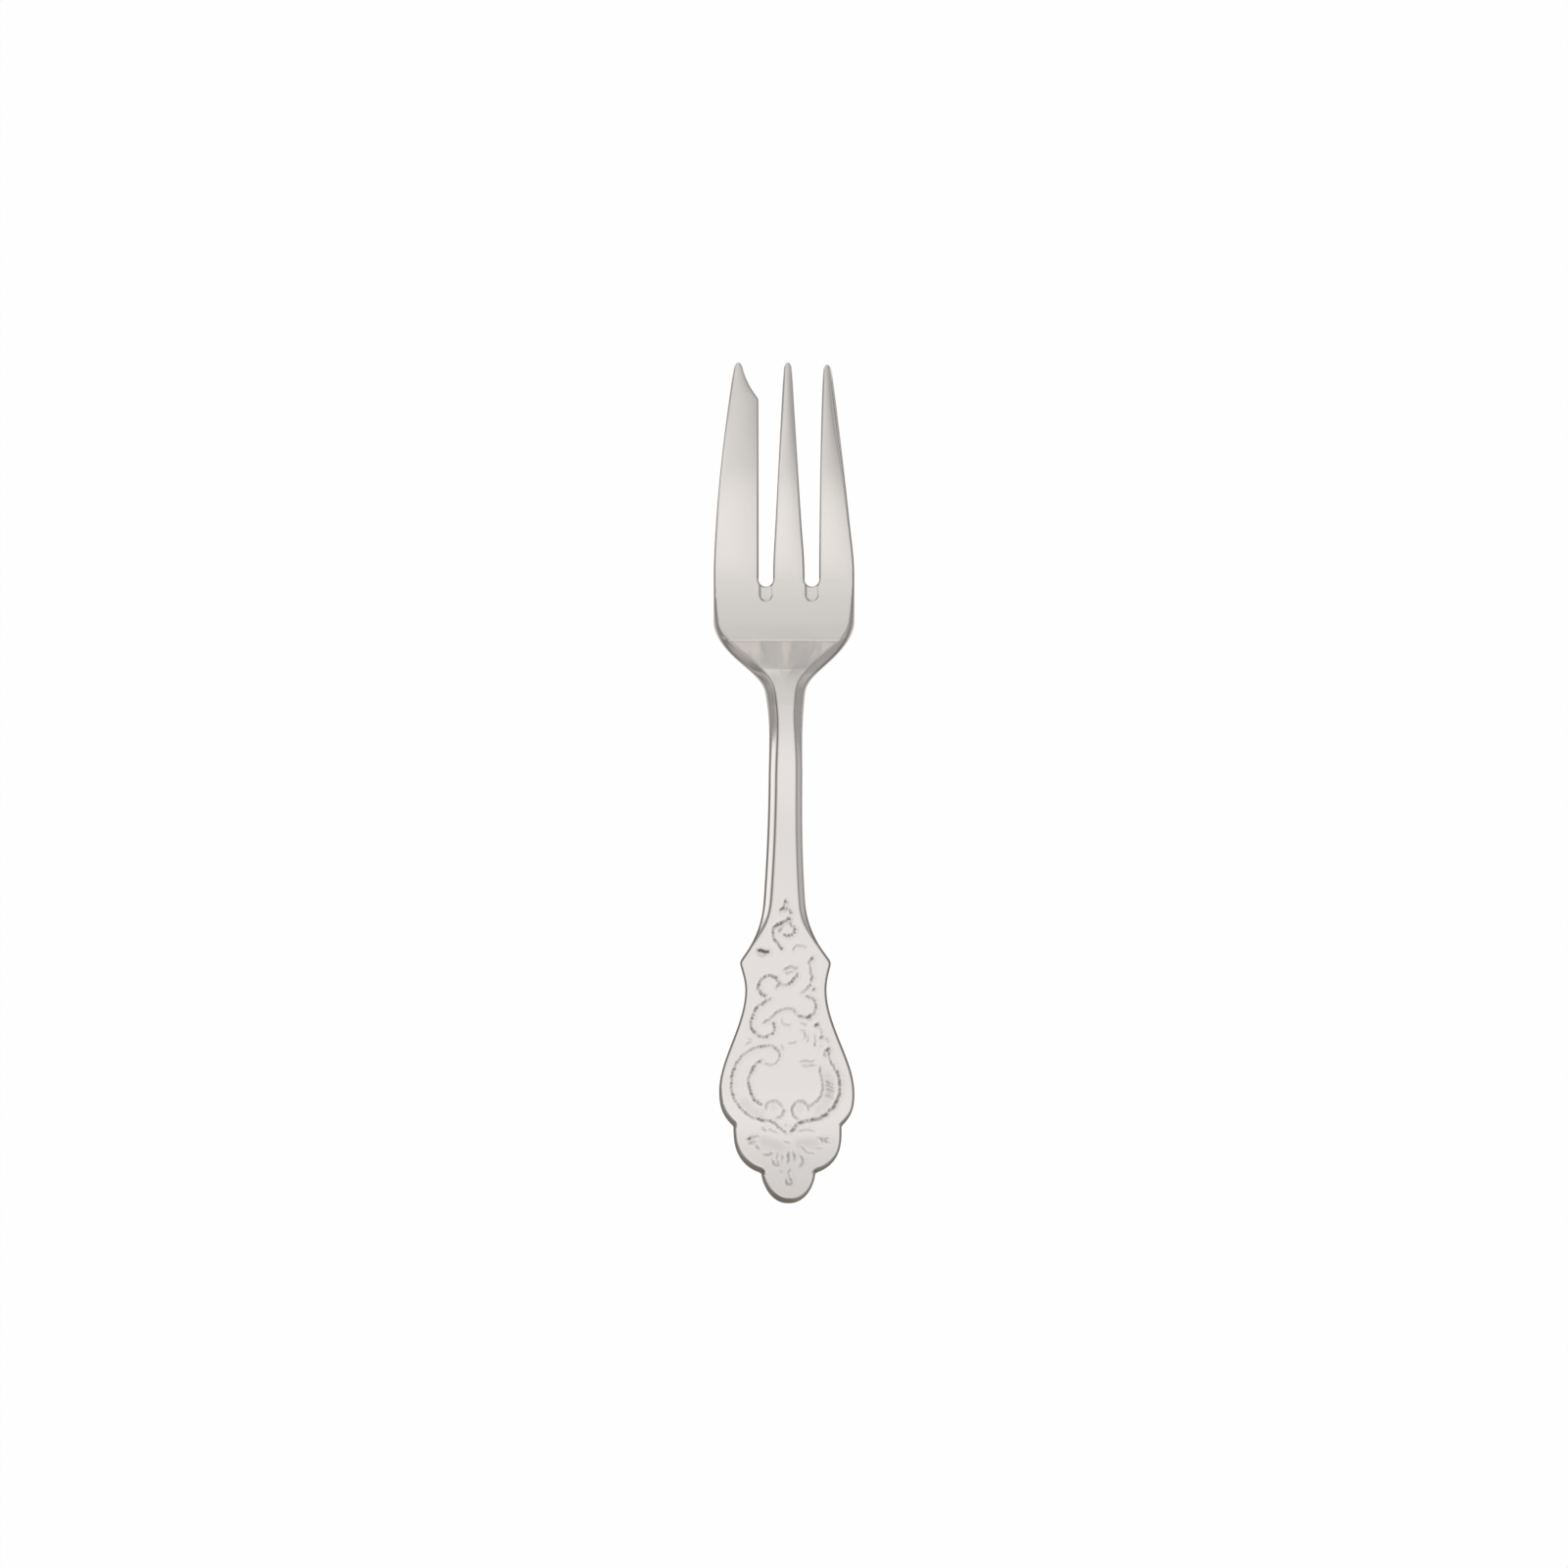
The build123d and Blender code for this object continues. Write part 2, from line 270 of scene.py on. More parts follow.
@dataclass(frozen=True)
class SilverFinish:
    """Silver plate on forged nickel silver, polished and then aged.

    Polish leaves a bright warm mirror, slightly clouded by handling and drawn over with hairlines
    along the fork. One darker colour serves both tarnish, in the cuts and partly on side walls, and
    painted shade along rims and creases, on the neck and on the facet.
    """

    name: str
    mirror: float
    silver: str = "#F6F1EE"
    # The dark colour of both the tarnish and the painted shade.
    tarnish_and_shade: str = "#5F554B"
    dull: float = 0.4
    cloud_size: float = 5.0
    cloud_detail: float = 3.0
    cloud_span: tuple[float, float] = (0.3, 0.7)
    cloud: float = 0.02
    hairline_width: float = 0.35
    hairline_length: float = 14.0
    hairline_depth: float = 0.012
    hairline_detail: float = 2.0
    hairline_strength: float = 0.3

    def material(self) -> bpy.types.Material:
        """Make the node material of this finish.

        Formula: colour and roughness go from the polish to the dark colour with the piece's own
        tarnish and painted shade, and the polish's roughness swings by the clouding.

        Returns:
            The new material.
        """
        made = bpy.data.materials.new(self.name)
        made.use_nodes = True
        tree = made.node_tree
        tree.nodes.clear()
        place = add_node(tree, "ShaderNodeTexCoord", {}).outputs["Object"]
        # One attribute carries the tarnish and the painted shade, which darken the colour alike.
        stain_and_shade = add_node(tree, "ShaderNodeAttribute", {}, attribute_name=TARNISH_AND_SHADE).outputs["Fac"]
        cloud = add_node(
            tree,
            "ShaderNodeTexNoise",
            {"Vector": place, "Scale": 1.0 / (self.cloud_size * MM), "Detail": self.cloud_detail},
        ).outputs["Fac"]
        # Real polishing hairlines are finer than a pixel, so they are drawn coarser here.
        across = 1.0 / (self.hairline_width * MM)
        along = 1.0 / (self.hairline_length * MM)
        drawn = add_node(
            tree, "ShaderNodeMapping", {"Vector": place, "Scale": (across, along, across)}
        ).outputs["Vector"]
        hairline = add_node(
            tree,
            "ShaderNodeTexNoise",
            {"Vector": drawn, "Scale": 1.0, "Detail": self.hairline_detail},
        ).outputs["Fac"]
        relief = add_node(
            tree,
            "ShaderNodeBump",
            {
                "Height": hairline,
                "Strength": self.hairline_strength,
                "Distance": self.hairline_depth * MM,
            },
        ).outputs["Normal"]
        clouded = add_node(
            tree,
            "ShaderNodeMapRange",
            {
                "Value": cloud,
                "From Min": self.cloud_span[0],
                "From Max": self.cloud_span[1],
                "To Min": self.mirror - self.cloud,
                "To Max": self.mirror + self.cloud,
            },
        ).outputs["Result"]
        roughness = add_node(
            tree, "ShaderNodeMapRange", {"Value": stain_and_shade, "To Min": clouded, "To Max": self.dull}
        ).outputs["Result"]
        colour = add_node(
            tree,
            "ShaderNodeMix",
            {MIX_SHARE: stain_and_shade, MIX_FIRST: linear(self.silver), MIX_SECOND: linear(self.tarnish_and_shade)},
            data_type="RGBA",
        ).outputs[MIX_COLOUR]
        shader = add_node(
            tree,
            "ShaderNodeBsdfPrincipled",
            {"Base Color": colour, "Metallic": 1.0, "Roughness": roughness, "Normal": relief},
        )
        add_node(tree, "ShaderNodeOutputMaterial", {"Surface": shader.outputs["BSDF"]})
        return made


@dataclass
class Shell:
    """A closed piece, gathered from sheets, walls and caps before it becomes a mesh."""

    points: list[Array] = field(default_factory=list)
    stains_and_shades: list[Array] = field(default_factory=list)
    quads: list[Array] = field(default_factory=list)
    caps: list[list[int]] = field(default_factory=list)
    count: int = 0

    def sheet(self, points: Array, stain_and_shade: Array, upward: bool) -> Array:
        """Add a grid of points with a quad between each four.

        Args:
            points: Rows by columns by 3, in millimetres, x rising along a row and y along a column.
            stain_and_shade: Tarnish and painted shade at each point, from 0 to 1.
            upward: Whether the sheet faces up, as the front does.

        Returns:
            The points' numbers, as rows by columns.
        """
        ids = self.count + np.arange(stain_and_shade.size).reshape(stain_and_shade.shape)
        self.points.append(points.reshape(-1, 3))
        self.stains_and_shades.append(stain_and_shade.ravel())
        self.count += stain_and_shade.size
        corners = [ids[:-1, :-1], ids[:-1, 1:], ids[1:, 1:], ids[1:, :-1]]
        turned = corners if upward else corners[::-1]
        self.quads.append(np.stack(turned, axis=-1).reshape(-1, 4))
        return ids

    def wall(self, first: Array, second: Array) -> None:
        """Join two rows of point numbers by quads that face away from the piece."""
        corners = (first[:-1], second[:-1], second[1:], first[1:])
        self.quads.append(np.stack(corners, axis=-1))

    def sides(self, front: Array, back: Array) -> None:
        """Join a front and a back sheet along their left and right rims."""
        self.wall(back[:, 0], front[:, 0])
        self.wall(front[:, -1], back[:, -1])

    def start_cap(self, front: Array, back: Array) -> None:
        """Close the end that looks towards the handle."""
        self.caps.append([*back[0].tolist(), *front[0, ::-1].tolist()])

    def end_cap(self, front: Array, back: Array) -> None:
        """Close the end that looks towards the tips."""
        self.caps.append([*front[-1].tolist(), *back[-1, ::-1].tolist()])

    def close(self, front: Array, back: Array) -> None:
        """Join a front and a back sheet all round.

        Args:
            front: Point numbers of the front.
            back: Point numbers of the back.
        """
        self.sides(front, back)
        self.start_cap(front, back)
        self.end_cap(front, back)

    def piece(self, name: str, node: str, slot: str, look: bpy.types.Material) -> bpy.types.Object:
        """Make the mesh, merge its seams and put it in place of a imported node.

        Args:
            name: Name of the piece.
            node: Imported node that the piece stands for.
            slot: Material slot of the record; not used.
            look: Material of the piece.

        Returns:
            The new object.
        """
        points = np.concatenate(self.points)
        points[:, 0] += graded(points[:, 1], SWAY_KNOTS)
        placed = (points - (0.0, MIDDLE, 0.0)) * MM
        faces = np.concatenate(self.quads).tolist() + self.caps
        mesh = bpy.data.meshes.new(name)
        mesh.from_pydata(placed.tolist(), [], faces)
        stain_and_shade = mesh.attributes.new(TARNISH_AND_SHADE, "FLOAT", "POINT")
        stain_and_shade.data.foreach_set("value", np.concatenate(self.stains_and_shades))
        seamed = bmesh.new()
        seamed.from_mesh(mesh)
        bmesh.ops.remove_doubles(seamed, verts=seamed.verts[:], dist=MERGE_GAP * MM)
        seamed.to_mesh(mesh)
        seamed.free()
        mesh.shade_smooth()
        mesh.set_sharp_from_angle(angle=HARD_ANGLE)
        mesh.materials.append(look)
        made = bpy.data.objects.new(name, mesh)
        bpy.context.scene.collection.objects.link(made)
        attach(made, BODY)
        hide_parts(node)
        return made


@dataclass
class ForkForm:
    """The laws of outline, height and edge that every piece of the fork follows.

    Knots hold a place, a value there and, unless it is level, its slope. Places run from the end of
    the handle.
    """

    # Outline
    end_cusp: float = 5.6
    side_cusp: float = 14.2
    shoulder: float = 44.6
    end_lobe: float = 5.0
    side_lobe: float = 10.0
    end_fullness: tuple[float, float] = (1.6, 0.45)
    side_fullness: tuple[float, float] = (3.0, 0.7)
    belly_knots: tuple[Knot, ...] = (
        (14.2, 10.0, 1.1), (20.5, 12.5), (30.5, 9.73, -0.39), (39.5, 7.5), (44.6, 8.5, 0.28),
    )
    stem_knots: tuple[Knot, ...] = (
        (44.6, 8.5, -0.72), (48.5, 5.9, -0.53), (55.8, 3.85, -0.07), (78.0, 3.12),
        (92.0, 3.38, 0.12), (95.0, 3.85, 0.31), (100.0, 8.3, 1.12), (107.6, 13.0), (117.0, 13.0),
    )
    cusp_round: float = 0.8
    shoulder_round: float = 2.2
    shoulder_reach: float = 2.5
    ladder_step: float = 0.02
    ladder_end: float = 118.0
    # Heights
    end_turn: Knot = (0.0, 1.35, -0.21)
    heel: float = 13.0
    ramp: tuple[float, float] = (22.0, 72.0)
    crest: float = 87.0
    lift: float = 7.1
    handle_rise: float = 0.1145
    bowl_knots: tuple[Knot, ...] = (
        (94.5, 6.6, -0.133), (105.5, 0.5, -0.123), (113.6, 0.0), (155.0, 9.0, 0.435),
    )
    thickness_knots: tuple[Knot, ...] = (
        (0.0, 1.9), (48.5, 1.9), (87.0, 2.7), (100.0, 3.1), (113.6, 2.0, -0.0217),
        (155.0, 1.0, -0.0266),
    )
    face_knots: tuple[Knot, ...] = (
        (87.0, 9.8), (91.9, 9.62, -0.07), (95.5, 9.2, -0.165), (97.4, 8.84, -0.23),
        (98.3, 8.58, -0.3), (98.7, 8.32, -0.959), (103.7, 3.52, -0.959), (104.3, 3.14, -0.25),
        (106.4, 2.7, -0.176), (110.0, 2.23, -0.095), (113.6, 2.0, -0.0217),
    )
    soft_length: float = 6.0
    soft_knots: tuple[Knot, ...] = ((92.0, 0.0), (96.0, 1.0), (107.0, 1.0), (111.0, 0.0))
    # Edges
    edge_room: float = 0.86
    front_edge_knots: tuple[Knot, ...] = (
        (0.0, 0.45), (44.0, 0.45), (48.5, 0.6, 0.1), (53.0, 1.35, 0.12), (58.0, 1.6), (80.0, 1.6),
        (96.0, 2.0), (101.0, 2.05), (104.0, 1.8, -0.18), (107.0, 1.25, -0.17), (110.9, 0.72, -0.1),
        (114.5, 0.44),
    )
    right_narrow: float = 0.2
    right_wear_knots: tuple[Knot, ...] = ((50.0, 0.0), (57.0, 1.0), (82.0, 1.0), (92.0, 0.0))
    end_wall: float = 0.9
    end_wall_heading: tuple[float, float] = (-0.3, 0.95)
    end_wall_power: float = 1.5
    end_wall_knots: tuple[Knot, ...] = ((18.0, 1.0), (34.0, 0.0))
    back_edge_knots: tuple[Knot, ...] = (
        (0.0, 0.35), (44.0, 0.35), (60.0, 1.1), (98.0, 1.2), (117.0, 0.45),
    )
    bevel_knots: tuple[Knot, ...] = (
        (45.0, 58.0), (52.0, 31.0), (79.0, 31.0), (84.5, 33.5, 1.2), (89.0, 42.0, 0.8),
        (95.5, 42.0), (99.0, 31.0, -1.2), (102.5, 26.0), (104.6, 40.0, 2.0), (107.0, 42.0),
        (111.0, 42.0), (115.0, 0.0),
    )
    bevel_share_knots: tuple[Knot, ...] = ((45.0, 0.88), (52.0, 0.76), (110.0, 0.72), (115.0, 0.0))
    bevel_start: float = 0.38
    rim_knots: tuple[Knot, ...] = ((44.0, 76.0), (54.0, 68.0), (100.0, 68.0), (114.0, 78.0))
    back_rim: float = 78.0
    # Tarnish and painted shade
    # Share by which the painted shade of the rim is lessened on the right of the stem.
    right_rim_lightening: float = 0.4
    # Width and left and right strength of the crease's painted shade, and the painted film on the
    # neck's left bevel.
    crease_width: float = 0.22
    crease_shade: tuple[float, float] = (0.85, 0.3)
    neck_painted_shade: float = 0.36
    neck_knots: tuple[Knot, ...] = (
        (85.5, 0.0), (88.5, 0.85), (96.0, 0.85), (97.7, 1.6), (99.8, 0.7), (102.8, 0.65),
        (104.6, 1.5), (106.2, 0.6), (107.5, 0.5), (110.0, 0.0),
    )
    crease_knots: tuple[Knot, ...] = (
        (47.5, 0.0), (52.0, 1.0), (92.0, 1.0), (98.0, 0.6), (108.0, 0.0),
    )
    # Reach of the rim's tarnish and painted shade, as a share of the edge's width.
    rim_tarnish_and_shade_reach_knots: tuple[Knot, ...] = (
        (45.0, 0.82), (52.0, 0.25), (100.0, 0.25), (108.0, 0.55), (113.0, 0.75), (122.0, 0.6),
        (140.0, 0.42),
    )
    # Strength of the rim's tarnish and painted shade, eased off at the tips so that they show lighter.
    rim_tarnish_and_shade_knots: tuple[Knot, ...] = (
        (46.0, 0.9), (54.0, 0.85), (84.0, 0.8), (93.0, 0.55), (106.0, 0.5), (112.0, 0.65),
        (151.0, 0.6), (154.2, 0.1),
    )
    # Share of the rim's tarnish and painted shade that the back keeps.
    back_tarnish_and_shade: float = 0.4

    def __post_init__(self) -> None:
        """Draw the outline once, with its corners rounded, and the face with its creases rounded."""
        self.ladder = np.arange(0.0, self.ladder_end, self.ladder_step)
        sharp = self.sharp_half_width(self.ladder)
        cusped = softened(sharp, self.ladder_step, self.cusp_round)
        eared = softened(sharp, self.ladder_step, self.shoulder_round)
        at_shoulder = np.abs(self.ladder - self.shoulder) < self.shoulder_reach
        # The very end of the handle is already round, and averaging would only blunt it.
        at_end = self.ladder < self.end_cusp / 2
        self.ladder_width = np.select([at_end, at_shoulder], [sharp, eared], cusped)
        self.ladder_lean = np.gradient(self.ladder_width, self.ladder_step)
        self.ladder_face = softened(self.face(self.ladder), self.ladder_step, self.soft_length)

    def sharp_half_width(self, place: Array) -> Array:
        """Give half the width with sharp corners where one curve of the outline meets the next.

        Formula: two lobes of the form 1 minus a power of what is left to their cusp, itself to a
        power, then cubics through the belly, waist, shoulder, stem and head.

        Args:
            place: Places along the fork.

        Returns:
            Half the width at each place.
        """
        part = np.clip(place / self.end_cusp, 0.0, 1.0)
        end = self.end_lobe * (1.0 - (1.0 - part) ** self.end_fullness[0]) ** self.end_fullness[1]
        part = np.clip((place - self.end_cusp) / (self.side_cusp - self.end_cusp), 0.0, 1.0)
        swell = (1.0 - (1.0 - part) ** self.side_fullness[0]) ** self.side_fullness[1]
        side = self.end_lobe + (self.side_lobe - self.end_lobe) * swell
        belly = graded(place, self.belly_knots)
        stem = graded(place, self.stem_knots)
        stretch = [place < self.end_cusp, place < self.side_cusp, place < self.shoulder]
        return np.select(stretch, [end, side, belly], stem)

    def half_width(self, place: Array) -> Array:
        """Give half the width with rounded corners."""
        return np.interp(place, self.ladder, self.ladder_width)

    def lean(self, place: Array) -> Array:
        """Give the slope of the outline."""
        return np.interp(place, self.ladder, self.ladder_lean)

    def underside(self, place: Array) -> Array:
        """Give the height of the back above the table.

        Formula: the end of the handle turns up, the shank rises in a straight line to its crest, the
        neck falls to the bowl, and the tines sweep up.

        Args:
            place: Places along the fork.

        Returns:
            The height at each place.
        """
        rise = self.handle_rise
        start, end = self.ramp
        knots = (
            self.end_turn,
            (self.heel, 0.0),
            (start, (start - self.heel) / 2 * rise, rise),
            (end, self.lift - (self.crest - end) / 2 * rise, rise),
            (self.crest, self.lift),
            *self.bowl_knots,
        )
        return graded(place, knots)

    def thickness(self, place: Array) -> Array:
        """Give the upright thickness."""
        return graded(place, self.thickness_knots)

    def face(self, place: Array) -> Array:
        """Give the height of the face.

        Formula: its own law over the neck, and elsewhere the underside plus the thickness.

        Args:
            place: Places along the fork.

        Returns:
            The height at each place.
        """
        plain = self.underside(place) + self.thickness(place)
        neck = (place > self.face_knots[0][0]) & (place < self.face_knots[-1][0])
        return np.where(neck, graded(place, self.face_knots), plain)

    def front_edge(self, place: Array, sideways: Array, endways: Array) -> Array:
        """Give the width of the front edge of the shank.

        Formula: the knots' law, narrower on the right of the stem, and near the handle's end a filed
        wall whose width goes with a power of how far the rim faces the wall's heading.

        Args:
            place: Places along the fork.
            sideways: Share of the rim's outward direction that points to the right.
            endways: Share of it that points to the handle's end.

        Returns:
            The width at each point.
        """
        right, end = self.end_wall_heading
        turned = np.clip(right * sideways + end * endways, 0.0, 1.0) ** self.end_wall_power
        wall = self.end_wall * turned * graded(place, self.end_wall_knots)
        narrowed = self.right_narrow * self.right_wear(place, sideways)
        return graded(place, self.front_edge_knots) * (1.0 - narrowed) + wall

    def right_wear(self, place: Array, sideways: Array) -> Array:
        """Give the share of the wear that the right of the stem has had, 0 on the left."""
        return np.clip(sideways, 0.0, 1.0) * graded(place, self.right_wear_knots)

    def rim_tarnish_and_shade(self, distance: Array, place: Array, width: Array) -> Array:
        """Give the darkening of a side wall and of the outer part of its edge, partly tarnish and
        partly painted shade.

        Formula: full at the rim, and a falling half cosine at the end of its reach.

        Args:
            distance: Distance from the rim.
            place: Places along the fork.
            width: Width of the edge.

        Returns:
            The tarnish and painted shade at each point.
        """
        # Partly tarnish, partly painted shade: darkest on the wall and fading inward over the edge.
        reach = width * graded(place, self.rim_tarnish_and_shade_reach_knots)
        part = np.clip((distance / reach - RIM_FADE_START) / (RIM_FADE_END - RIM_FADE_START), 0.0, 1.0)
        return graded(place, self.rim_tarnish_and_shade_knots) * (0.5 + 0.5 * np.cos(math.pi * part))

    def crease_painted_shade(self, distance: Array, x: Array, place: Array, width: Array) -> Array:
        """Give painted shade in a fine line along the start of a bevel, and on the neck's left bevel.

        Formula: a bell of the distance from the line, thicker on the left than on the right, and
        a thin film of painted shade from the line to the left rim.

        Args:
            distance: Distance from the rim.
            x: Sideways places.
            place: Places along the fork.
            width: Width of the edge.

        Returns:
            The painted shade at each point.
        """
        # Painted shade: a dark line along the crease, heavier on the left.
        line = np.exp(-(((distance - CREASE * width) / self.crease_width) ** 2))
        left, right = self.crease_shade
        crease_line_shade = np.where(x < 0.0, left, right) * line * graded(place, self.crease_knots)
        # Painted shade: a film on the neck's left bevel that dims its highlights.
        inside = np.clip((CREASE * width - distance) / self.crease_width, 0.0, 1.0)
        shade_film = np.where(x < 0.0, self.neck_painted_shade, 0.0) * inside * graded(place, self.neck_knots)
        return np.maximum(crease_line_shade, shade_film)

    def front_fall(self, distance: Array, place: Array, width: Array) -> Array:
        """Give the fall of a front edge: a flat bevel, then an arc to the rim.

        Formula: the bevel's slope comes in as a smooth step over the first part of its share of the
        width and then holds, and the arc takes up the tilt that the bevel ends with.

        Args:
            distance: Distance from the rim.
            place: Places along the fork.
            width: Width of the edge.

        Returns:
            The fall at each point, which is 0 on the face.
        """
        tilt = graded(place, self.bevel_knots)
        share = graded(place, self.bevel_share_knots)
        ease = np.maximum(self.bevel_start * share, MERGE_GAP)
        gone = np.clip(1.0 - distance / width, 0.0, share)
        eased = np.minimum(gone, ease)
        bevel = eased**3 / ease**2 - eased**4 / (2.0 * ease**3) + gone - eased
        arc = edge_drop(distance, width * (1.0 - share), tilt, graded(place, self.rim_knots))
        return width * np.tan(np.radians(tilt)) * bevel + arc

    def front_drop(self, distance: Array, place: Array, width: Array) -> Array:
        """Give the fall of a front edge of the given width, held within the thickness."""
        return self.room(place, width) * self.front_fall(distance, place, width)

    def front_height(self, distance: Array, place: Array, width: Array) -> Array:
        """Give the height of the front.

        Formula: the face, less the fall of its edge. Over the neck the face's creases are rounded
        along the edge, and turn sharp, straight in the distance, over one more width of it.

        Args:
            distance: Distance from the rim.
            place: Places along the fork.
            width: Width of the edge.

        Returns:
            The height at each point.
        """
        face = self.face(place)
        share = np.clip(2.0 - distance / width, 0.0, 1.0) * graded(place, self.soft_knots)
        soft = np.interp(place, self.ladder, self.ladder_face) - face
        return face + share * soft - self.front_drop(distance, place, width)

    def back_drop(self, distance: Array, place: Array, limit: Array | float = np.inf) -> Array:
        """Give the rise of the back edge.

        Formula: an arc from level to the tilt of its rim, held within the thickness.

        Args:
            distance: Distance from the rim.
            place: Places along the fork.
            limit: Widest edge that there is room for.

        Returns:
            The rise at each point, which is 0 on the flat of the back.
        """
        width = np.minimum(graded(place, self.back_edge_knots), limit)
        front = graded(place, self.front_edge_knots)
        return self.room(place, front) * edge_drop(distance, width, 0.0, self.back_rim)

    def room(self, place: Array, width: Array) -> Array:
        """Give the share of both edges' falls that the thickness has room for.

        Formula: the usable part of the thickness over the sum of both falls at the rim, at most 1.

        Args:
            place: Places along the fork.
            width: Width of the front edge.

        Returns:
            The share at each place.
        """
        rim = 0.0 * place
        falls = self.front_fall(rim, place, width)
        falls = falls + edge_drop(rim, graded(place, self.back_edge_knots), 0.0, self.back_rim)
        return np.minimum(1.0, self.edge_room * self.thickness(place) / falls)


class Cut(Enum):
    """How a stroke of the ornament was made."""

    BEADED = "punched bead by bead"
    COARSE = "punched with a larger bead"
    PLAIN = "engraved in one line"
    FAINT = "engraved lightly"
    DEEP = "struck with a broad point"
    GOUGED = "gouged out"
    # Painted shade over a very slight dip, darkening the hollows of the relief as shade would.
    PAINTED_SHADE = "matted with a fine punch"


@dataclass(frozen=True)
class Graver:
    """The mark that a cut leaves in the silver.

    Args:
        width: Width of the mark.
        depth: Depth of the mark.
        stain_and_shade: Tarnish that stays in it, or painted shade for a painted-shade stroke.
        beading: Share of the mark that comes and goes from bead to bead.
        pitch: Distance from one bead to the next.
        taper: Length over which the mark fades in and out.
    """

    width: float
    depth: float
    stain_and_shade: float
    beading: float
    pitch: float
    taper: float


GRAVERS: Mapping[Cut, Graver] = {
    Cut.BEADED: Graver(width=0.5, depth=0.055, stain_and_shade=0.57, beading=0.7, pitch=0.7, taper=0.3),
    Cut.COARSE: Graver(width=0.56, depth=0.065, stain_and_shade=0.7, beading=0.65, pitch=1.2, taper=0.3),
    Cut.PLAIN: Graver(width=0.5, depth=0.042, stain_and_shade=0.38, beading=0.35, pitch=0.9, taper=0.6),
    Cut.FAINT: Graver(width=0.45, depth=0.03, stain_and_shade=0.21, beading=0.4, pitch=0.7, taper=0.5),
    Cut.DEEP: Graver(width=0.46, depth=0.09, stain_and_shade=0.72, beading=0.0, pitch=1.0, taper=0.35),
    Cut.GOUGED: Graver(width=0.5, depth=0.14, stain_and_shade=1.0, beading=0.0, pitch=1.0, taper=0.35),
    Cut.PAINTED_SHADE: Graver(width=2.1, depth=0.02, stain_and_shade=0.11, beading=0.0, pitch=1.0, taper=1.5),
}


@dataclass(frozen=True)
class Stroke:
    """One stroke of the ornament: its cut, and the points that its line goes through."""

    cut: Cut
    points: tuple[Point, ...]


# Short strokes between the two lines of the right frame, from the top one down.
FEATHERS = 5
FEATHER_LEFT, FEATHER_RIGHT = 7.0, 8.9
FEATHER_TOP, FEATHER_STEP, FEATHER_FALL = 22.6, 0.62, 0.75

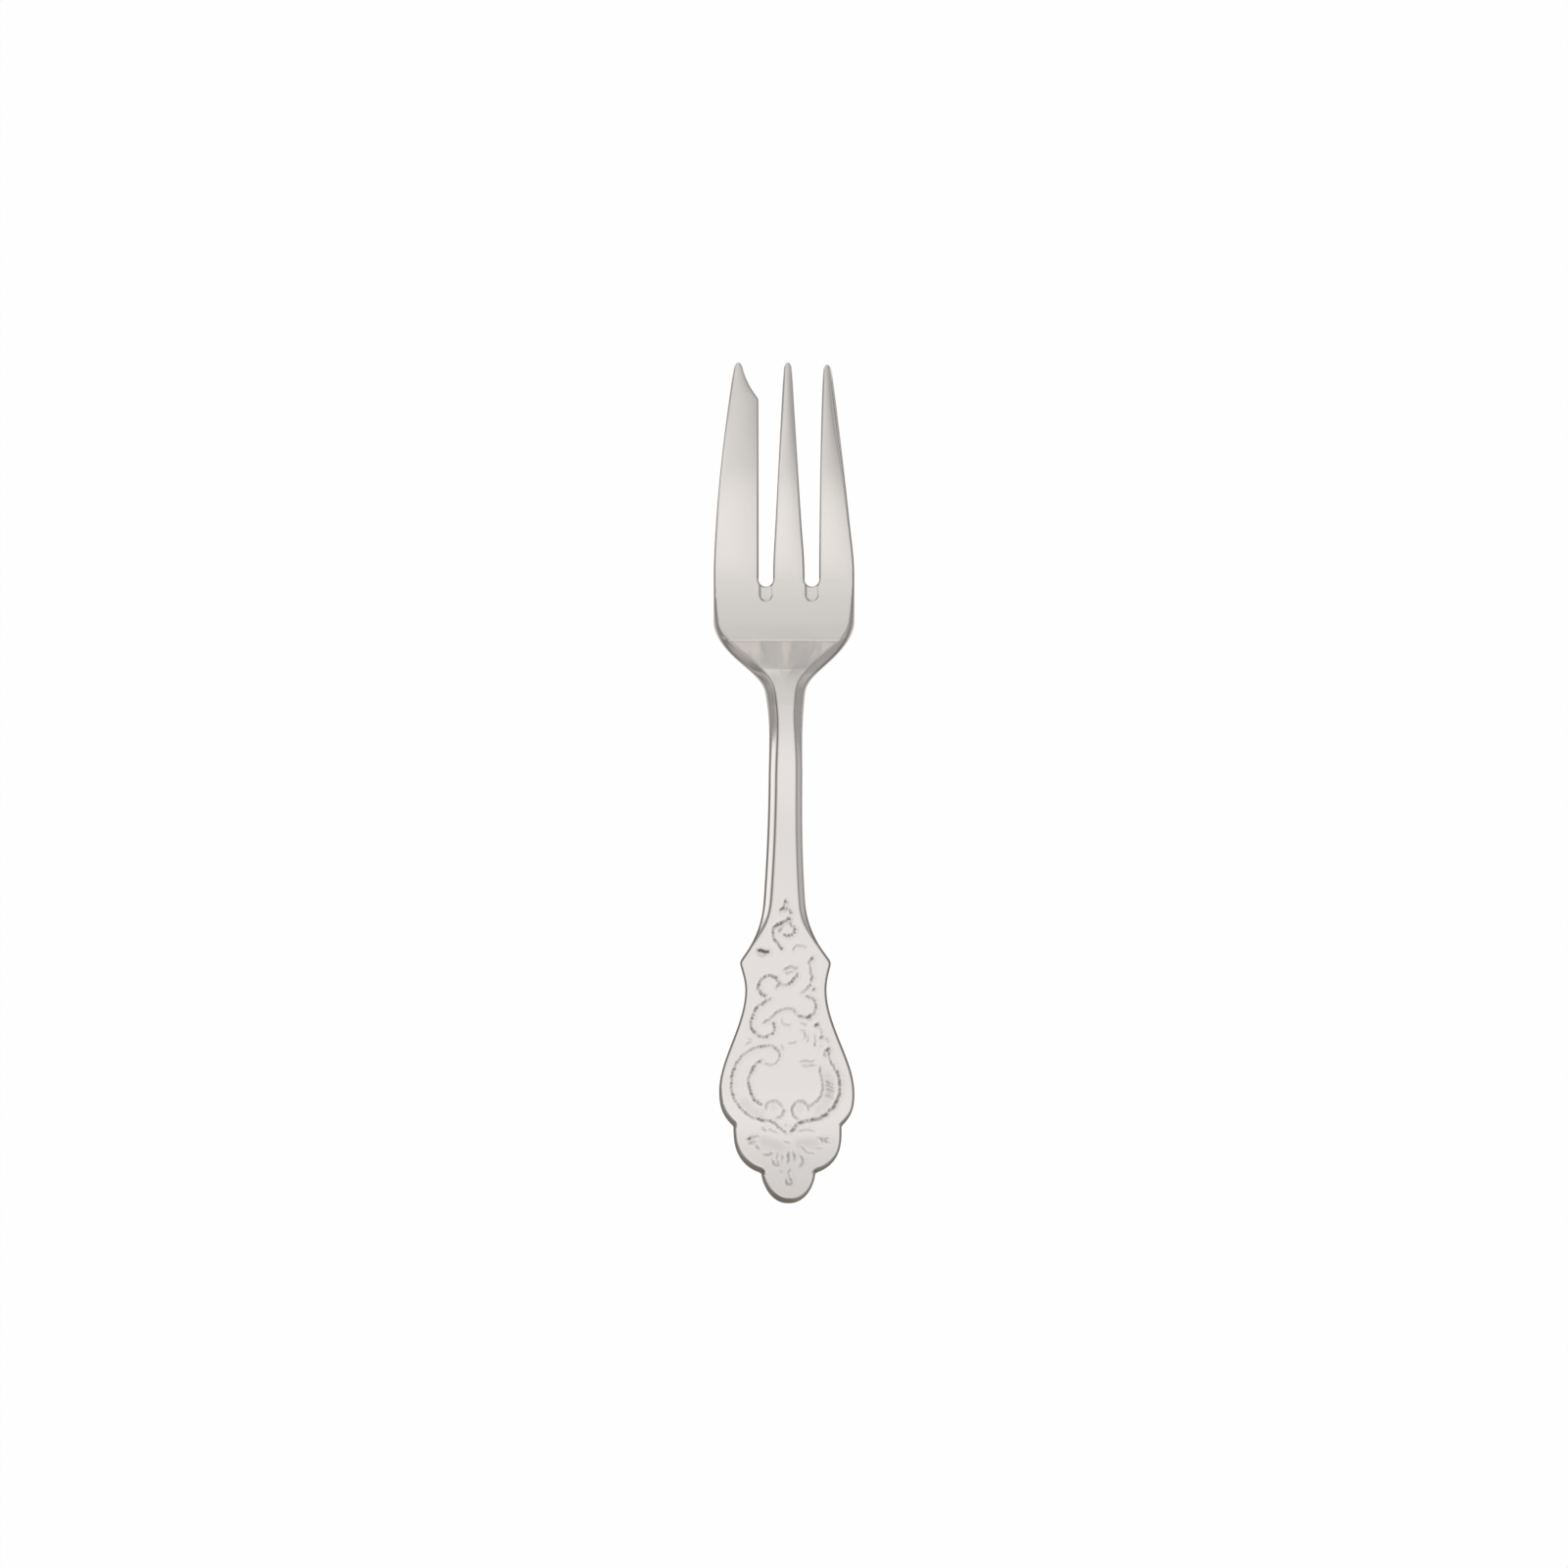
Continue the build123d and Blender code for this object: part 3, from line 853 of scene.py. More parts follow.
# Traditional scrollwork of the handle, as points across the fork and along it from the handle's end.
SCROLLWORK: Mapping[str, Stroke] = {
    "finial_bud": Stroke(Cut.DEEP, ((0.3, 56.1), (0.2, 55.6))),
    "finial_stalk": Stroke(Cut.PLAIN, ((0.2, 55.7), (0.2, 55.0))),
    "finial_left": Stroke(Cut.DEEP, ((0.1, 54.9), (-0.2, 54.5), (-0.75, 54.25))),
    "finial_left_end": Stroke(Cut.PLAIN, ((-0.7, 54.3), (-0.6, 53.5))),
    "finial_right": Stroke(Cut.BEADED, ((0.2, 55.0), (0.7, 54.4), (1.3, 53.8), (1.4, 53.5))),
    "finial_link": Stroke(Cut.DEEP, ((0.75, 52.9), (0.7, 52.4))),
    "upper_scroll_crown": Stroke(Cut.DEEP, ((-0.1, 51.95), (-0.8, 51.75), (-1.5, 51.3))),
    "upper_scroll": Stroke(
        Cut.BEADED,
        (
            (0.6, 52.2), (-0.2, 52.1), (-1.0, 51.8), (-1.7, 51.2), (-2.1, 50.3), (-2.0, 49.3),
            (-1.6, 48.5), (-0.4, 47.0),
        ),
    ),
    "upper_volute": Stroke(
        Cut.BEADED, ((0.7, 52.2), (1.3, 51.5), (1.9, 50.8), (1.7, 49.9), (0.7, 49.5), (-0.1, 49.6))
    ),
    "upper_curl": Stroke(Cut.PLAIN, ((-0.8, 49.9), (-0.7, 50.4), (-0.2, 50.9))),
    "dark_leaf": Stroke(Cut.GOUGED, ((-5.05, 46.8), (-4.4, 46.75), (-3.7, 46.55), (-2.9, 46.4))),
    "leaf_vein": Stroke(Cut.FAINT, ((-5.1, 46.5), (-4.8, 45.9), (-4.1, 45.7), (-3.1, 46.0))),
    "crest": Stroke(Cut.FAINT, ((1.6, 46.5), (1.8, 47.2), (2.5, 47.6), (3.4, 47.5), (4.1, 47.2))),
    "berry": Stroke(Cut.DEEP, ((4.85, 45.05), (5.2, 45.5))),
    "berry_loop": Stroke(Cut.PLAIN, ((4.7, 44.1), (4.5, 44.6), (4.9, 45.2))),
    "berry_stalk": Stroke(Cut.PLAIN, ((4.7, 44.2), (4.7, 43.1), (4.9, 41.7), (4.7, 40.6))),
    "stalk_foot": Stroke(Cut.BEADED, ((4.7, 40.6), (4.1, 39.8), (3.5, 39.2), (2.8, 38.8))),
    "stalk_dash": Stroke(Cut.BEADED, ((5.5, 39.7), (5.0, 39.1))),
    "arc": Stroke(Cut.PLAIN, ((-0.2, 43.1), (0.3, 43.5), (1.0, 43.7), (1.7, 43.6), (2.5, 43.4))),
    "arc_shade": Stroke(Cut.FAINT, ((-0.3, 42.7), (0.8, 42.6), (1.7, 43.0))),
    "small_tail": Stroke(
        Cut.BEADED, ((2.3, 42.5), (1.9, 41.8), (1.2, 41.1), (0.5, 40.5), (-0.5, 40.3))
    ),
    "small_scroll": Stroke(
        Cut.BEADED,
        (
            (-0.5, 40.3), (-1.4, 41.2), (-1.9, 41.8), (-2.8, 42.1), (-3.6, 42.0), (-4.4, 41.4),
            (-4.8, 40.7), (-5.0, 39.9), (-4.7, 39.2), (-4.3, 38.6), (-3.4, 38.4),
        ),
    ),
    "small_hook": Stroke(Cut.BEADED, ((-1.0, 40.6), (-1.4, 40.1), (-1.9, 39.9))),
    "waist_scroll": Stroke(
        Cut.BEADED,
        (
            (-2.6, 37.9), (-3.4, 37.5), (-4.3, 36.9), (-5.3, 36.1), (-6.3, 34.0), (-6.4, 33.0),
            (-6.1, 32.1), (-5.5, 31.4), (-4.8, 30.9), (-3.9, 30.7), (-3.0, 31.1), (-2.2, 31.7),
            (-2.0, 32.7), (-2.4, 33.4),
        ),
    ),
    "waist_curl": Stroke(Cut.PLAIN, ((-4.1, 33.1), (-3.5, 33.7), (-2.7, 34.0))),
    "link_rise": Stroke(
        Cut.PLAIN,
        ((-2.7, 34.0), (-2.2, 34.8), (-1.4, 35.4), (0.3, 36.0), (1.4, 35.7), (2.2, 35.0)),
    ),
    "link_loop": Stroke(
        Cut.BEADED,
        (
            (2.2, 35.0), (3.0, 34.4), (3.9, 34.4), (4.7, 34.7), (5.4, 35.2), (5.7, 36.3),
            (5.4, 37.5), (4.7, 38.0), (3.9, 38.2),
        ),
    ),
    "shell_line": Stroke(Cut.FAINT, ((-0.6, 34.1), (-0.6, 33.4), (0.0, 33.0), (1.0, 33.0))),
    "loop_dash": Stroke(Cut.DEEP, ((3.95, 34.3), (4.8, 34.85))),
    "right_dash": Stroke(Cut.DEEP, ((5.35, 32.75), (5.7, 33.0), (6.1, 33.25))),
    "dash_tail": Stroke(Cut.FAINT, ((6.2, 32.5), (6.6, 31.9), (6.7, 31.3))),
    "right_trail": Stroke(Cut.BEADED, ((6.4, 30.5), (6.9, 31.0))),
    "outer_trail": Stroke(Cut.FAINT, ((7.3, 30.6), (7.8, 30.2), (8.1, 29.6))),
    "trail_dot": Stroke(Cut.FAINT, ((6.5, 29.2), (6.8, 28.8))),
    "right_upright": Stroke(Cut.FAINT, ((5.4, 31.2), (5.45, 30.2), (5.5, 29.0))),
    "upright_foot": Stroke(Cut.PLAIN, ((5.45, 29.6), (5.5, 29.0))),
    "shell_ridge": Stroke(Cut.FAINT, ((2.6, 33.3), (3.5, 33.1), (3.8, 32.6))),
    "shell_fan": Stroke(Cut.FAINT, ((2.5, 32.0), (3.2, 31.8), (3.7, 31.0), (3.3, 30.2))),
    "shell_fan_inner": Stroke(Cut.FAINT, ((3.9, 31.2), (4.2, 30.4), (3.8, 29.6))),
    "shell_foot": Stroke(Cut.FAINT, ((0.4, 29.6), (1.4, 29.6), (2.2, 29.9))),
    "shell_side": Stroke(Cut.FAINT, ((-0.8, 29.4), (-0.6, 28.8), (-0.3, 28.3))),
    "corner_leaf": Stroke(Cut.DEEP, ((8.2, 28.8), (7.8, 28.4), (7.4, 28.0))),
    "corner_loop": Stroke(Cut.PLAIN, ((7.3, 28.1), (7.25, 27.5), (7.6, 26.9))),
    "right_frame_rise": Stroke(
        Cut.PLAIN, ((8.1, 28.5), (8.0, 27.4), (8.2, 26.5), (8.7, 25.5), (9.2, 24.4))
    ),
    "left_dots": Stroke(Cut.FAINT, ((-6.9, 30.6), (-6.4, 29.9), (-7.4, 29.3))),
    "right_line": Stroke(Cut.FAINT, ((2.6, 26.2), (5.4, 26.2))),
    "right_curve": Stroke(Cut.FAINT, ((2.9, 25.5), (3.7, 25.3), (5.5, 25.5))),
    "left_frame": Stroke(
        Cut.BEADED,
        (
            (-1.0, 27.0), (-1.3, 28.1), (-2.6, 29.0), (-4.1, 29.1), (-5.6, 28.7), (-6.9, 28.1),
            (-8.2, 27.1), (-9.1, 25.8), (-9.7, 24.5), (-10.1, 23.0), (-10.1, 21.8), (-10.0, 20.5),
            (-9.5, 19.1), (-8.9, 18.2), (-7.8, 16.9), (-6.4, 16.0), (-4.9, 15.5), (-3.2, 15.3),
            (-2.2, 14.8), (-1.2, 13.9), (0.1, 12.9),
        ),
    ),
    "left_inner_frame": Stroke(
        Cut.BEADED,
        (
            (-4.4, 26.5), (-5.3, 25.9), (-6.1, 25.0), (-6.5, 24.0), (-6.9, 23.0), (-6.9, 21.9),
            (-6.6, 20.8), (-6.3, 19.7), (-5.6, 18.9), (-4.6, 18.0),
        ),
    ),
    "right_frame": Stroke(
        Cut.COARSE,
        (
            (9.2, 24.6), (9.7, 23.3), (9.9, 22.0), (9.9, 20.5), (9.3, 19.0), (8.6, 17.8),
            (7.5, 16.6), (6.4, 15.9), (5.2, 15.4), (3.7, 15.2), (2.3, 14.9), (1.4, 14.0),
            (0.7, 13.1),
        ),
    ),
    "right_inner_frame": Stroke(
        Cut.PLAIN,
        (
            (6.2, 25.3), (6.4, 24.2), (6.7, 23.0), (6.8, 21.7), (6.6, 20.5), (6.2, 19.6),
            (5.6, 18.8), (4.7, 18.2), (3.9, 18.0),
        ),
    ),
    # Painted shade in the hollows of the relief: between the frames, inside the eyes and on the
    # leaves.
    "right_band": Stroke(
        Cut.PAINTED_SHADE, ((7.3, 24.6), (8.0, 22.8), (8.3, 21.0), (7.7, 19.0), (6.4, 17.4), (4.8, 16.6))
    ),
    "left_band": Stroke(Cut.PAINTED_SHADE, ((-8.3, 19.8), (-7.0, 17.8), (-5.2, 16.7), (-3.4, 16.4))),
    "left_eye_shade": Stroke(Cut.PAINTED_SHADE, ((-3.2, 17.4), (-2.2, 17.5), (-1.2, 17.4))),
    "right_eye_shade": Stroke(Cut.PAINTED_SHADE, ((1.6, 17.4), (2.6, 17.5), (3.6, 17.4))),
    "left_leaf_shade": Stroke(Cut.PAINTED_SHADE, ((-5.4, 11.9), (-3.6, 11.6), (-1.8, 11.0), (0.0, 10.4))),
    "right_leaf_shade": Stroke(Cut.PAINTED_SHADE, ((6.4, 11.4), (4.8, 11.6), (3.0, 11.3), (1.2, 10.6))),
    "upper_eye": Stroke(
        Cut.FAINT, ((-1.0, 27.0), (-1.5, 26.3), (-2.3, 25.6), (-3.1, 25.5), (-3.9, 25.9))
    ),
    "left_eye": Stroke(
        Cut.PLAIN,
        (
            (-0.7, 17.6), (-1.15, 18.3), (-1.9, 18.8), (-3.0, 18.8), (-3.7, 18.2), (-3.95, 17.1),
        ),
    ),
    "left_eye_side": Stroke(
        Cut.PLAIN, ((-2.1, 15.6), (-1.4, 16.0), (-0.85, 16.4), (-0.6, 17.0), (-0.7, 17.6))
    ),
    "right_eye": Stroke(
        Cut.PLAIN, ((2.3, 15.6), (1.5, 16.0), (1.05, 17.0), (1.25, 18.0), (1.9, 18.7))
    ),
    "right_eye_top": Stroke(
        Cut.PLAIN, ((1.9, 18.7), (2.75, 18.9), (3.5, 18.5), (3.95, 17.9), (4.05, 17.0))
    ),
    "vee_dot": Stroke(Cut.PLAIN, ((-0.3, 14.7), (0.0, 14.4))),
    "vee_speck": Stroke(Cut.FAINT, ((0.5, 14.4), (0.7, 14.4))),
    "left_leaf_tip": Stroke(Cut.DEEP, ((-7.4, 11.9), (-6.6, 12.1))),
    "left_leaf_edge": Stroke(Cut.PLAIN, ((-7.0, 12.0), (-6.2, 12.3), (-5.1, 12.7))),
    "left_leaf_hook": Stroke(Cut.PLAIN, ((-7.2, 11.7), (-6.7, 11.2), (-6.1, 11.4), (-5.9, 11.8))),
    "left_leaf_side": Stroke(Cut.PLAIN, ((-5.8, 10.9), (-5.5, 10.4), (-5.0, 9.9))),
    "left_leaf_crown": Stroke(Cut.PLAIN, ((-4.7, 13.9), (-4.3, 13.9), (-4.0, 13.1))),
    "left_leaf_bar": Stroke(Cut.FAINT, ((-3.7, 13.7), (-2.7, 13.5), (-1.8, 13.1))),
    "left_leaf_base": Stroke(Cut.PLAIN, ((-4.6, 9.3), (-3.9, 9.0), (-3.1, 9.2), (-2.7, 9.7))),
    "right_leaf_crown": Stroke(Cut.FAINT, ((2.1, 13.4), (3.1, 13.6), (4.1, 13.6), (5.1, 13.5))),
    "right_leaf_tip": Stroke(Cut.PLAIN, ((5.6, 12.3), (6.6, 12.0), (7.8, 12.2))),
    "right_leaf_barb": Stroke(Cut.PLAIN, ((6.4, 11.7), (7.2, 11.5), (7.9, 11.5))),
    "right_leaf_stem": Stroke(Cut.FAINT, ((6.4, 12.3), (6.5, 11.0))),
    "right_leaf_side": Stroke(Cut.FAINT, ((5.3, 10.2), (5.9, 10.3), (6.5, 10.2))),
    "right_leaf_base": Stroke(Cut.FAINT, ((2.4, 10.8), (3.2, 9.9), (4.0, 9.4), (5.2, 9.3))),
    "palm_heart": Stroke(Cut.FAINT, ((-0.5, 11.6), (0.0, 11.4), (0.7, 11.4))),
    "ray_left": Stroke(Cut.FAINT, ((-1.8, 9.5), (-2.0, 8.0))),
    "ray_left_hook": Stroke(Cut.PLAIN, ((-2.7, 8.1), (-2.4, 7.2), (-1.8, 7.2), (-1.9, 8.0))),
    "ray_inner": Stroke(Cut.FAINT, ((-0.9, 9.2), (-1.0, 7.8))),
    "ray_middle": Stroke(Cut.PLAIN, ((0.3, 9.6), (0.2, 8.4), (0.1, 7.4))),
    "ray_right": Stroke(Cut.PLAIN, ((1.2, 9.6), (1.4, 7.8))),
    "ray_right_hook": Stroke(Cut.PLAIN, ((2.4, 9.0), (2.8, 8.2), (2.6, 7.3), (2.2, 6.7))),
    "end_dot": Stroke(Cut.PLAIN, ((-1.3, 6.0), (-1.0, 5.9))),
    "end_stalk": Stroke(Cut.FAINT, ((0.6, 6.6), (0.2, 5.6), (0.3, 4.8))),
    "end_hook": Stroke(Cut.PLAIN, ((-0.3, 4.6), (-0.25, 3.8), (0.1, 3.6), (0.6, 3.8), (0.4, 5.2))),
    **{
        f"feather_{k}": Stroke(
            Cut.PLAIN,
            (
                (FEATHER_LEFT, FEATHER_TOP - k * FEATHER_STEP),
                (FEATHER_RIGHT, FEATHER_TOP - FEATHER_FALL - k * FEATHER_STEP),
            ),
        )
        for k in range(FEATHERS)
    },
}


@dataclass(frozen=True)
class Ornament:
    """The chased scrollwork on the front of the handle."""

    strokes: Mapping[str, Stroke]
    reach: float = 2.5
    burr: float = 0.32
    burr_place: float = 1.6
    burr_width: float = 0.7
    seed: int = 7
    uneven: tuple[float, float] = (0.3, 1.4)
    astray: float = 0.14
    parting: tuple[float, float] = (0.05, 1.0)
    shake: float = 0.09
    halo: float = 0.12
    halo_width: float = 2.0
    end_mark: float = 0.2

    def marks(self, x: Array, place: Array) -> tuple[Array, Array]:
        """Cut the strokes.

        Formula: across a stroke the cut is a bell of the distance from its line, with a lower ridge
        of thrown-up silver beside it and a faint halo of painted shade round it. Its line wanders by a
        seeded draw, averaged over neighbours. Along it the beads come and go as a cosine of its
        length, each struck a little harder or softer, a little astray and more or less apart, by
        seeded draws, and at its ends it fades straight to a share of the mark.

        Args:
            x: Sideways places on the front.
            place: Places along the fork.

        Returns:
            The lift of the surface, below 0 in a cut, and the tarnish and painted shade.
        """
        lift = np.zeros(x.shape)
        stain_and_shade = np.zeros(x.shape)
        draw = np.random.default_rng(self.seed)
        for stroke in self.strokes.values():
            graver = GRAVERS[stroke.cut]
            path = smooth_path(stroke.points)
            wander = np.pad(draw.normal(0.0, self.shake, path.shape), ((1, 1), (0, 0)), mode="edge")
            path = path + wander[:-2] / 4 + wander[1:-1] / 2 + wander[2:] / 4
            low = path.min(axis=0) - self.reach * graver.width
            high = path.max(axis=0) + self.reach * graver.width
            near = (x > low[0]) & (x < high[0]) & (place > low[1]) & (place < high[1])
            distance, along = beside(x[near], place[near], path)
            beads = int(MOST_LENGTH / graver.pitch)
            blows = draw.uniform(*self.uneven, beads)
            shifts = draw.uniform(-self.astray, self.astray, beads)
            gaps = graver.beading * draw.uniform(*self.parting, beads)
            number = np.rint(along / graver.pitch).astype(int)
            blow = blows[number]
            bead = 0.5 + 0.5 * np.cos(2.0 * math.pi * (along / graver.pitch - shifts[number]))
            share = (1.0 - gaps[number] * (1.0 - bead)) * (1.0 + graver.beading * (blow - 1.0))
            length = float(np.hypot(*np.diff(path, axis=0).T).sum())
            to_end = np.minimum(along, length - along)
            share = share * np.clip(to_end / graver.taper + self.end_mark, 0.0, 1.0)
            half = graver.width / 2
            bell = np.exp(-((distance / half) ** 2))
            ridge = np.exp(-(((distance / half - self.burr_place) / self.burr_width) ** 2))
            lift[near] += graver.depth * share * (self.burr * ridge - bell)
            # Painted shade: a faint darkening round each stroke, beside the tarnish in its cut.
            halo = self.halo * np.exp(-((distance / (self.halo_width * half)) ** 2))
            mark = np.clip(graver.stain_and_shade * np.maximum(share * bell, halo), 0.0, 1.0)
            stain_and_shade[near] = np.maximum(stain_and_shade[near], mark)
        return lift, stain_and_shade


@dataclass
class Shank:
    """Handle and stem: one sheet over the front, one over the back, split at the stem's foot."""

    form: ForkForm
    ornament: Ornament
    finish: SilverFinish
    first_place: float = 0.006
    end_stretch: float = 1.6
    stem_foot: float = 48.5
    ornament_end: float = 57.6
    head_start: float = HEAD_START
    end_rows: int = 26
    handle_rows: int = 396
    carved_rows: int = 78
    stem_rows: int = 80
    front_columns: int = 146
    back_columns: int = 12
    widest_edge: float = 0.6
    overrun: float = 2.0

    def handle_places(self) -> Array:
        """Set the handle's rows: crowded at the very end as squares, then even.

        Returns:
            Places along the fork.
        """
        crowd = np.linspace(0.0, 1.0, self.end_rows, endpoint=False) ** 2
        even = np.linspace(self.end_stretch, self.stem_foot, self.handle_rows)
        return np.concatenate([self.first_place + (self.end_stretch - self.first_place) * crowd, even])

    def stem_places(self) -> Array:
        """Set the stem's rows: close together as far as the ornament goes, then wider.

        Returns:
            Places along the fork.
        """
        carved = np.linspace(self.stem_foot, self.ornament_end, self.carved_rows, endpoint=False)
        plain = np.linspace(self.ornament_end, self.head_start, self.stem_rows)
        return np.concatenate([carved, plain])

    def outline(self) -> Array:
        """Draw the right half of the outline, from the middle of the handle's end into the head.

        Returns:
            The line as rows of x and place.
        """
        beyond = [self.head_start + self.overrun]
        places = np.concatenate([self.handle_places(), self.stem_places()[1:], beyond])
        half = self.form.half_width(places)
        return np.vstack([[0.0, places[0]], np.column_stack([half, places])])

    def columns(self, places: Array, knots: Sequence[Knot], inner: int) -> Array:
        """Set the columns of a sheet for the edge law that it has.

        Formula: an edge is as wide across the fork as its own width over the cosine of the lean of
        the outline, up to a share of half the fork's width.

        Args:
            places: Rows of the sheet.
            knots: Law of the edge's width.
            inner: Number of columns between the edges.

        Returns:
            Sideways places as rows by columns.
        """
        half = self.form.half_width(places)
        edge = graded(places, knots) * np.hypot(1.0, self.form.lean(places))
        edge = np.minimum(edge, self.widest_edge * half)
        return spread(-half, half, edge, edge, inner)

    def front(self, places: Array) -> tuple[Array, Array]:
        """Work out the front.

        Formula: the height is the face, less the fall of its edge, with the ornament cut in. A fine
        line of painted shade runs along the start of the stem's bevel.

        Args:
            places: Rows of the sheet.

        Returns:
            Points, and tarnish with painted shade.
        """
        x = self.columns(places, self.form.front_edge_knots, self.front_columns)
        place = np.broadcast_to(places[:, None], x.shape)
        distance, sideways, endways = self.rim(x, place)
        edge = self.form.front_edge(place, sideways, endways)
        lift, stain_and_shade = self.ornament.marks(x, place)
        height = self.form.front_height(distance, place, edge) + lift
        # Painted shade along the start of the bevel and on the neck.
        stain_and_shade = np.maximum(stain_and_shade, self.form.crease_painted_shade(distance, x, place, edge))
        # Painted shade of the rim, lessened on the right of the stem.
        rim_lightening = self.form.right_rim_lightening * self.form.right_wear(place, sideways)
        rim = self.form.rim_tarnish_and_shade(distance, place, edge) * (1.0 - rim_lightening)
        return np.stack([x, place, height], axis=-1), np.maximum(stain_and_shade, rim)

    def rim(self, x: Array, place: Array) -> tuple[Array, Array, Array]:
        """Look from each point to the nearest place of the rim.

        Formula: the rim's outward direction is its own direction, turned by a quarter.

        Args:
            x: Sideways places.
            place: Places along the fork.

        Returns:
            The distance, and the shares of the rim's outward direction that point to the right and
            to the handle's end.
        """
        outline = self.outline()
        distance, along = beside(np.abs(x), place, outline)
        steps = np.diff(outline, axis=0)
        lengths = np.hypot(*steps.T)
        middles = np.cumsum(lengths) - lengths / 2
        endways = np.interp(along, middles, steps[:, 0] / lengths)
        sideways = np.sign(x) * np.interp(along, middles, steps[:, 1] / lengths)
        return distance, sideways, endways

    def back(self, places: Array) -> tuple[Array, Array]:
        """Work out the back: the underside, raised by its rounded edge.

        Args:
            places: Rows of the sheet.

        Returns:
            Points and tarnish.
        """
        x = self.columns(places, self.form.back_edge_knots, self.back_columns)
        place = np.broadcast_to(places[:, None], x.shape)
        distance, _, _ = self.rim(x, place)
        height = self.form.underside(place) + self.form.back_drop(distance, place)
        edge = graded(place, self.form.back_edge_knots)
        # Tarnish and painted shade of the rim, weaker on the back.
        stain_and_shade = self.form.back_tarnish_and_shade * self.form.rim_tarnish_and_shade(distance, place, edge)
        return np.stack([x, place, height], axis=-1), stain_and_shade

    def build(self) -> list[bpy.types.Object]:
        """Build the handle and the stem.

        Returns:
            The two pieces.
        """
        look = self.finish.material()
        made = []
        spans = (("handle", self.handle_places()), ("stem", self.stem_places()))
        for node, places in spans:
            shell = Shell()
            front = shell.sheet(*self.front(places), upward=True)
            back = shell.sheet(*self.back(places), upward=False)
            shell.close(front, back)
            made.append(shell.piece(f"chased_{node}", node, "chased_silver", look))
        return made


class Side(Enum):
    """Which side of a tine is the outside of the fork."""

    LEFT = "left"
    RIGHT = "right"
    NEITHER = "neither"


@dataclass(frozen=True)
class TineForm:
    """Edges of one tine, from its root to its tip."""

    node: str
    outside: Side
    left_knots: tuple[Knot, ...]
    right_knots: tuple[Knot, ...]
    tip: float
    inner_columns: int
    outer_edge_knots: tuple[Knot, ...] = ((117.0, 0.42), (155.0, 0.38))
    twist_knots: tuple[Knot, ...] = ((117.0, 0.0), (155.0, 0.0))
    nose: float = 1.0
    nose_flat: float = 0.06
    corner_round: float = 0.8
    root: float = 110.0
    step: float = 0.02

    def edges(self, place: Array) -> tuple[Array, Array]:
        """Give the left and right edge.

        Formula: cubics with softened corners, drawn in to a round nose over the last of the tip.

        Args:
            place: Places along the fork.

        Returns:
            Left and right edge at each place.
        """
        ladder = np.arange(self.root, self.tip + self.step, self.step)
        left = softened(graded(ladder, self.left_knots), self.step, self.corner_round)
        right = softened(graded(ladder, self.right_knots), self.step, self.corner_round)
        left, right = np.interp(place, ladder, left), np.interp(place, ladder, right)
        gone = np.clip(1.0 - (self.tip - place) / self.nose, 0.0, 1.0)
        kept = self.nose_flat + (1.0 - self.nose_flat) * np.sqrt(1.0 - gone**2)
        centre, half = (left + right) / 2, kept * (right - left) / 2
        return centre - half, centre + half


CUTTING_TINE = TineForm(
    node="cutting_tine",
    outside=Side.LEFT,
    left_knots=((116.0, -13.0), (126.0, -12.55, 0.065), (155.0, -9.1, 0.16)),
    right_knots=((116.0, -4.7), (148.4, -4.7), (148.6, -4.82, -0.8), (155.0, -7.7, -0.12)),
    tip=155.0,
    inner_columns=14,
    twist_knots=((122.0, 0.0), (145.0, -0.02)),
)
MIDDLE_TINE = TineForm(
    node="middle_tine",
    outside=Side.NEITHER,
    left_knots=((116.0, -2.0), (126.0, -1.56, 0.052), (155.0, 0.0, 0.06)),
    right_knots=((116.0, 3.8), (126.0, 3.2, -0.065), (155.0, 1.4, -0.06)),
    tip=155.0,
    inner_columns=12,
    twist_knots=((122.0, 0.0), (145.0, 0.025)),
)
OUTER_TINE = TineForm(
    node="outer_tine",
    outside=Side.RIGHT,
    left_knots=((116.0, 6.5), (126.0, 6.58, 0.012), (154.6, 7.25, 0.05)),
    right_knots=((116.0, 13.0), (126.0, 12.13, -0.105), (154.6, 8.65, -0.14)),
    tip=154.6,
    inner_columns=12,
    outer_edge_knots=((117.0, 0.42), (132.0, 0.55, 0.02), (147.0, 1.15)),
    twist_knots=((122.0, 0.0), (141.0, 0.065, 0.004), (151.0, 0.1)),
)


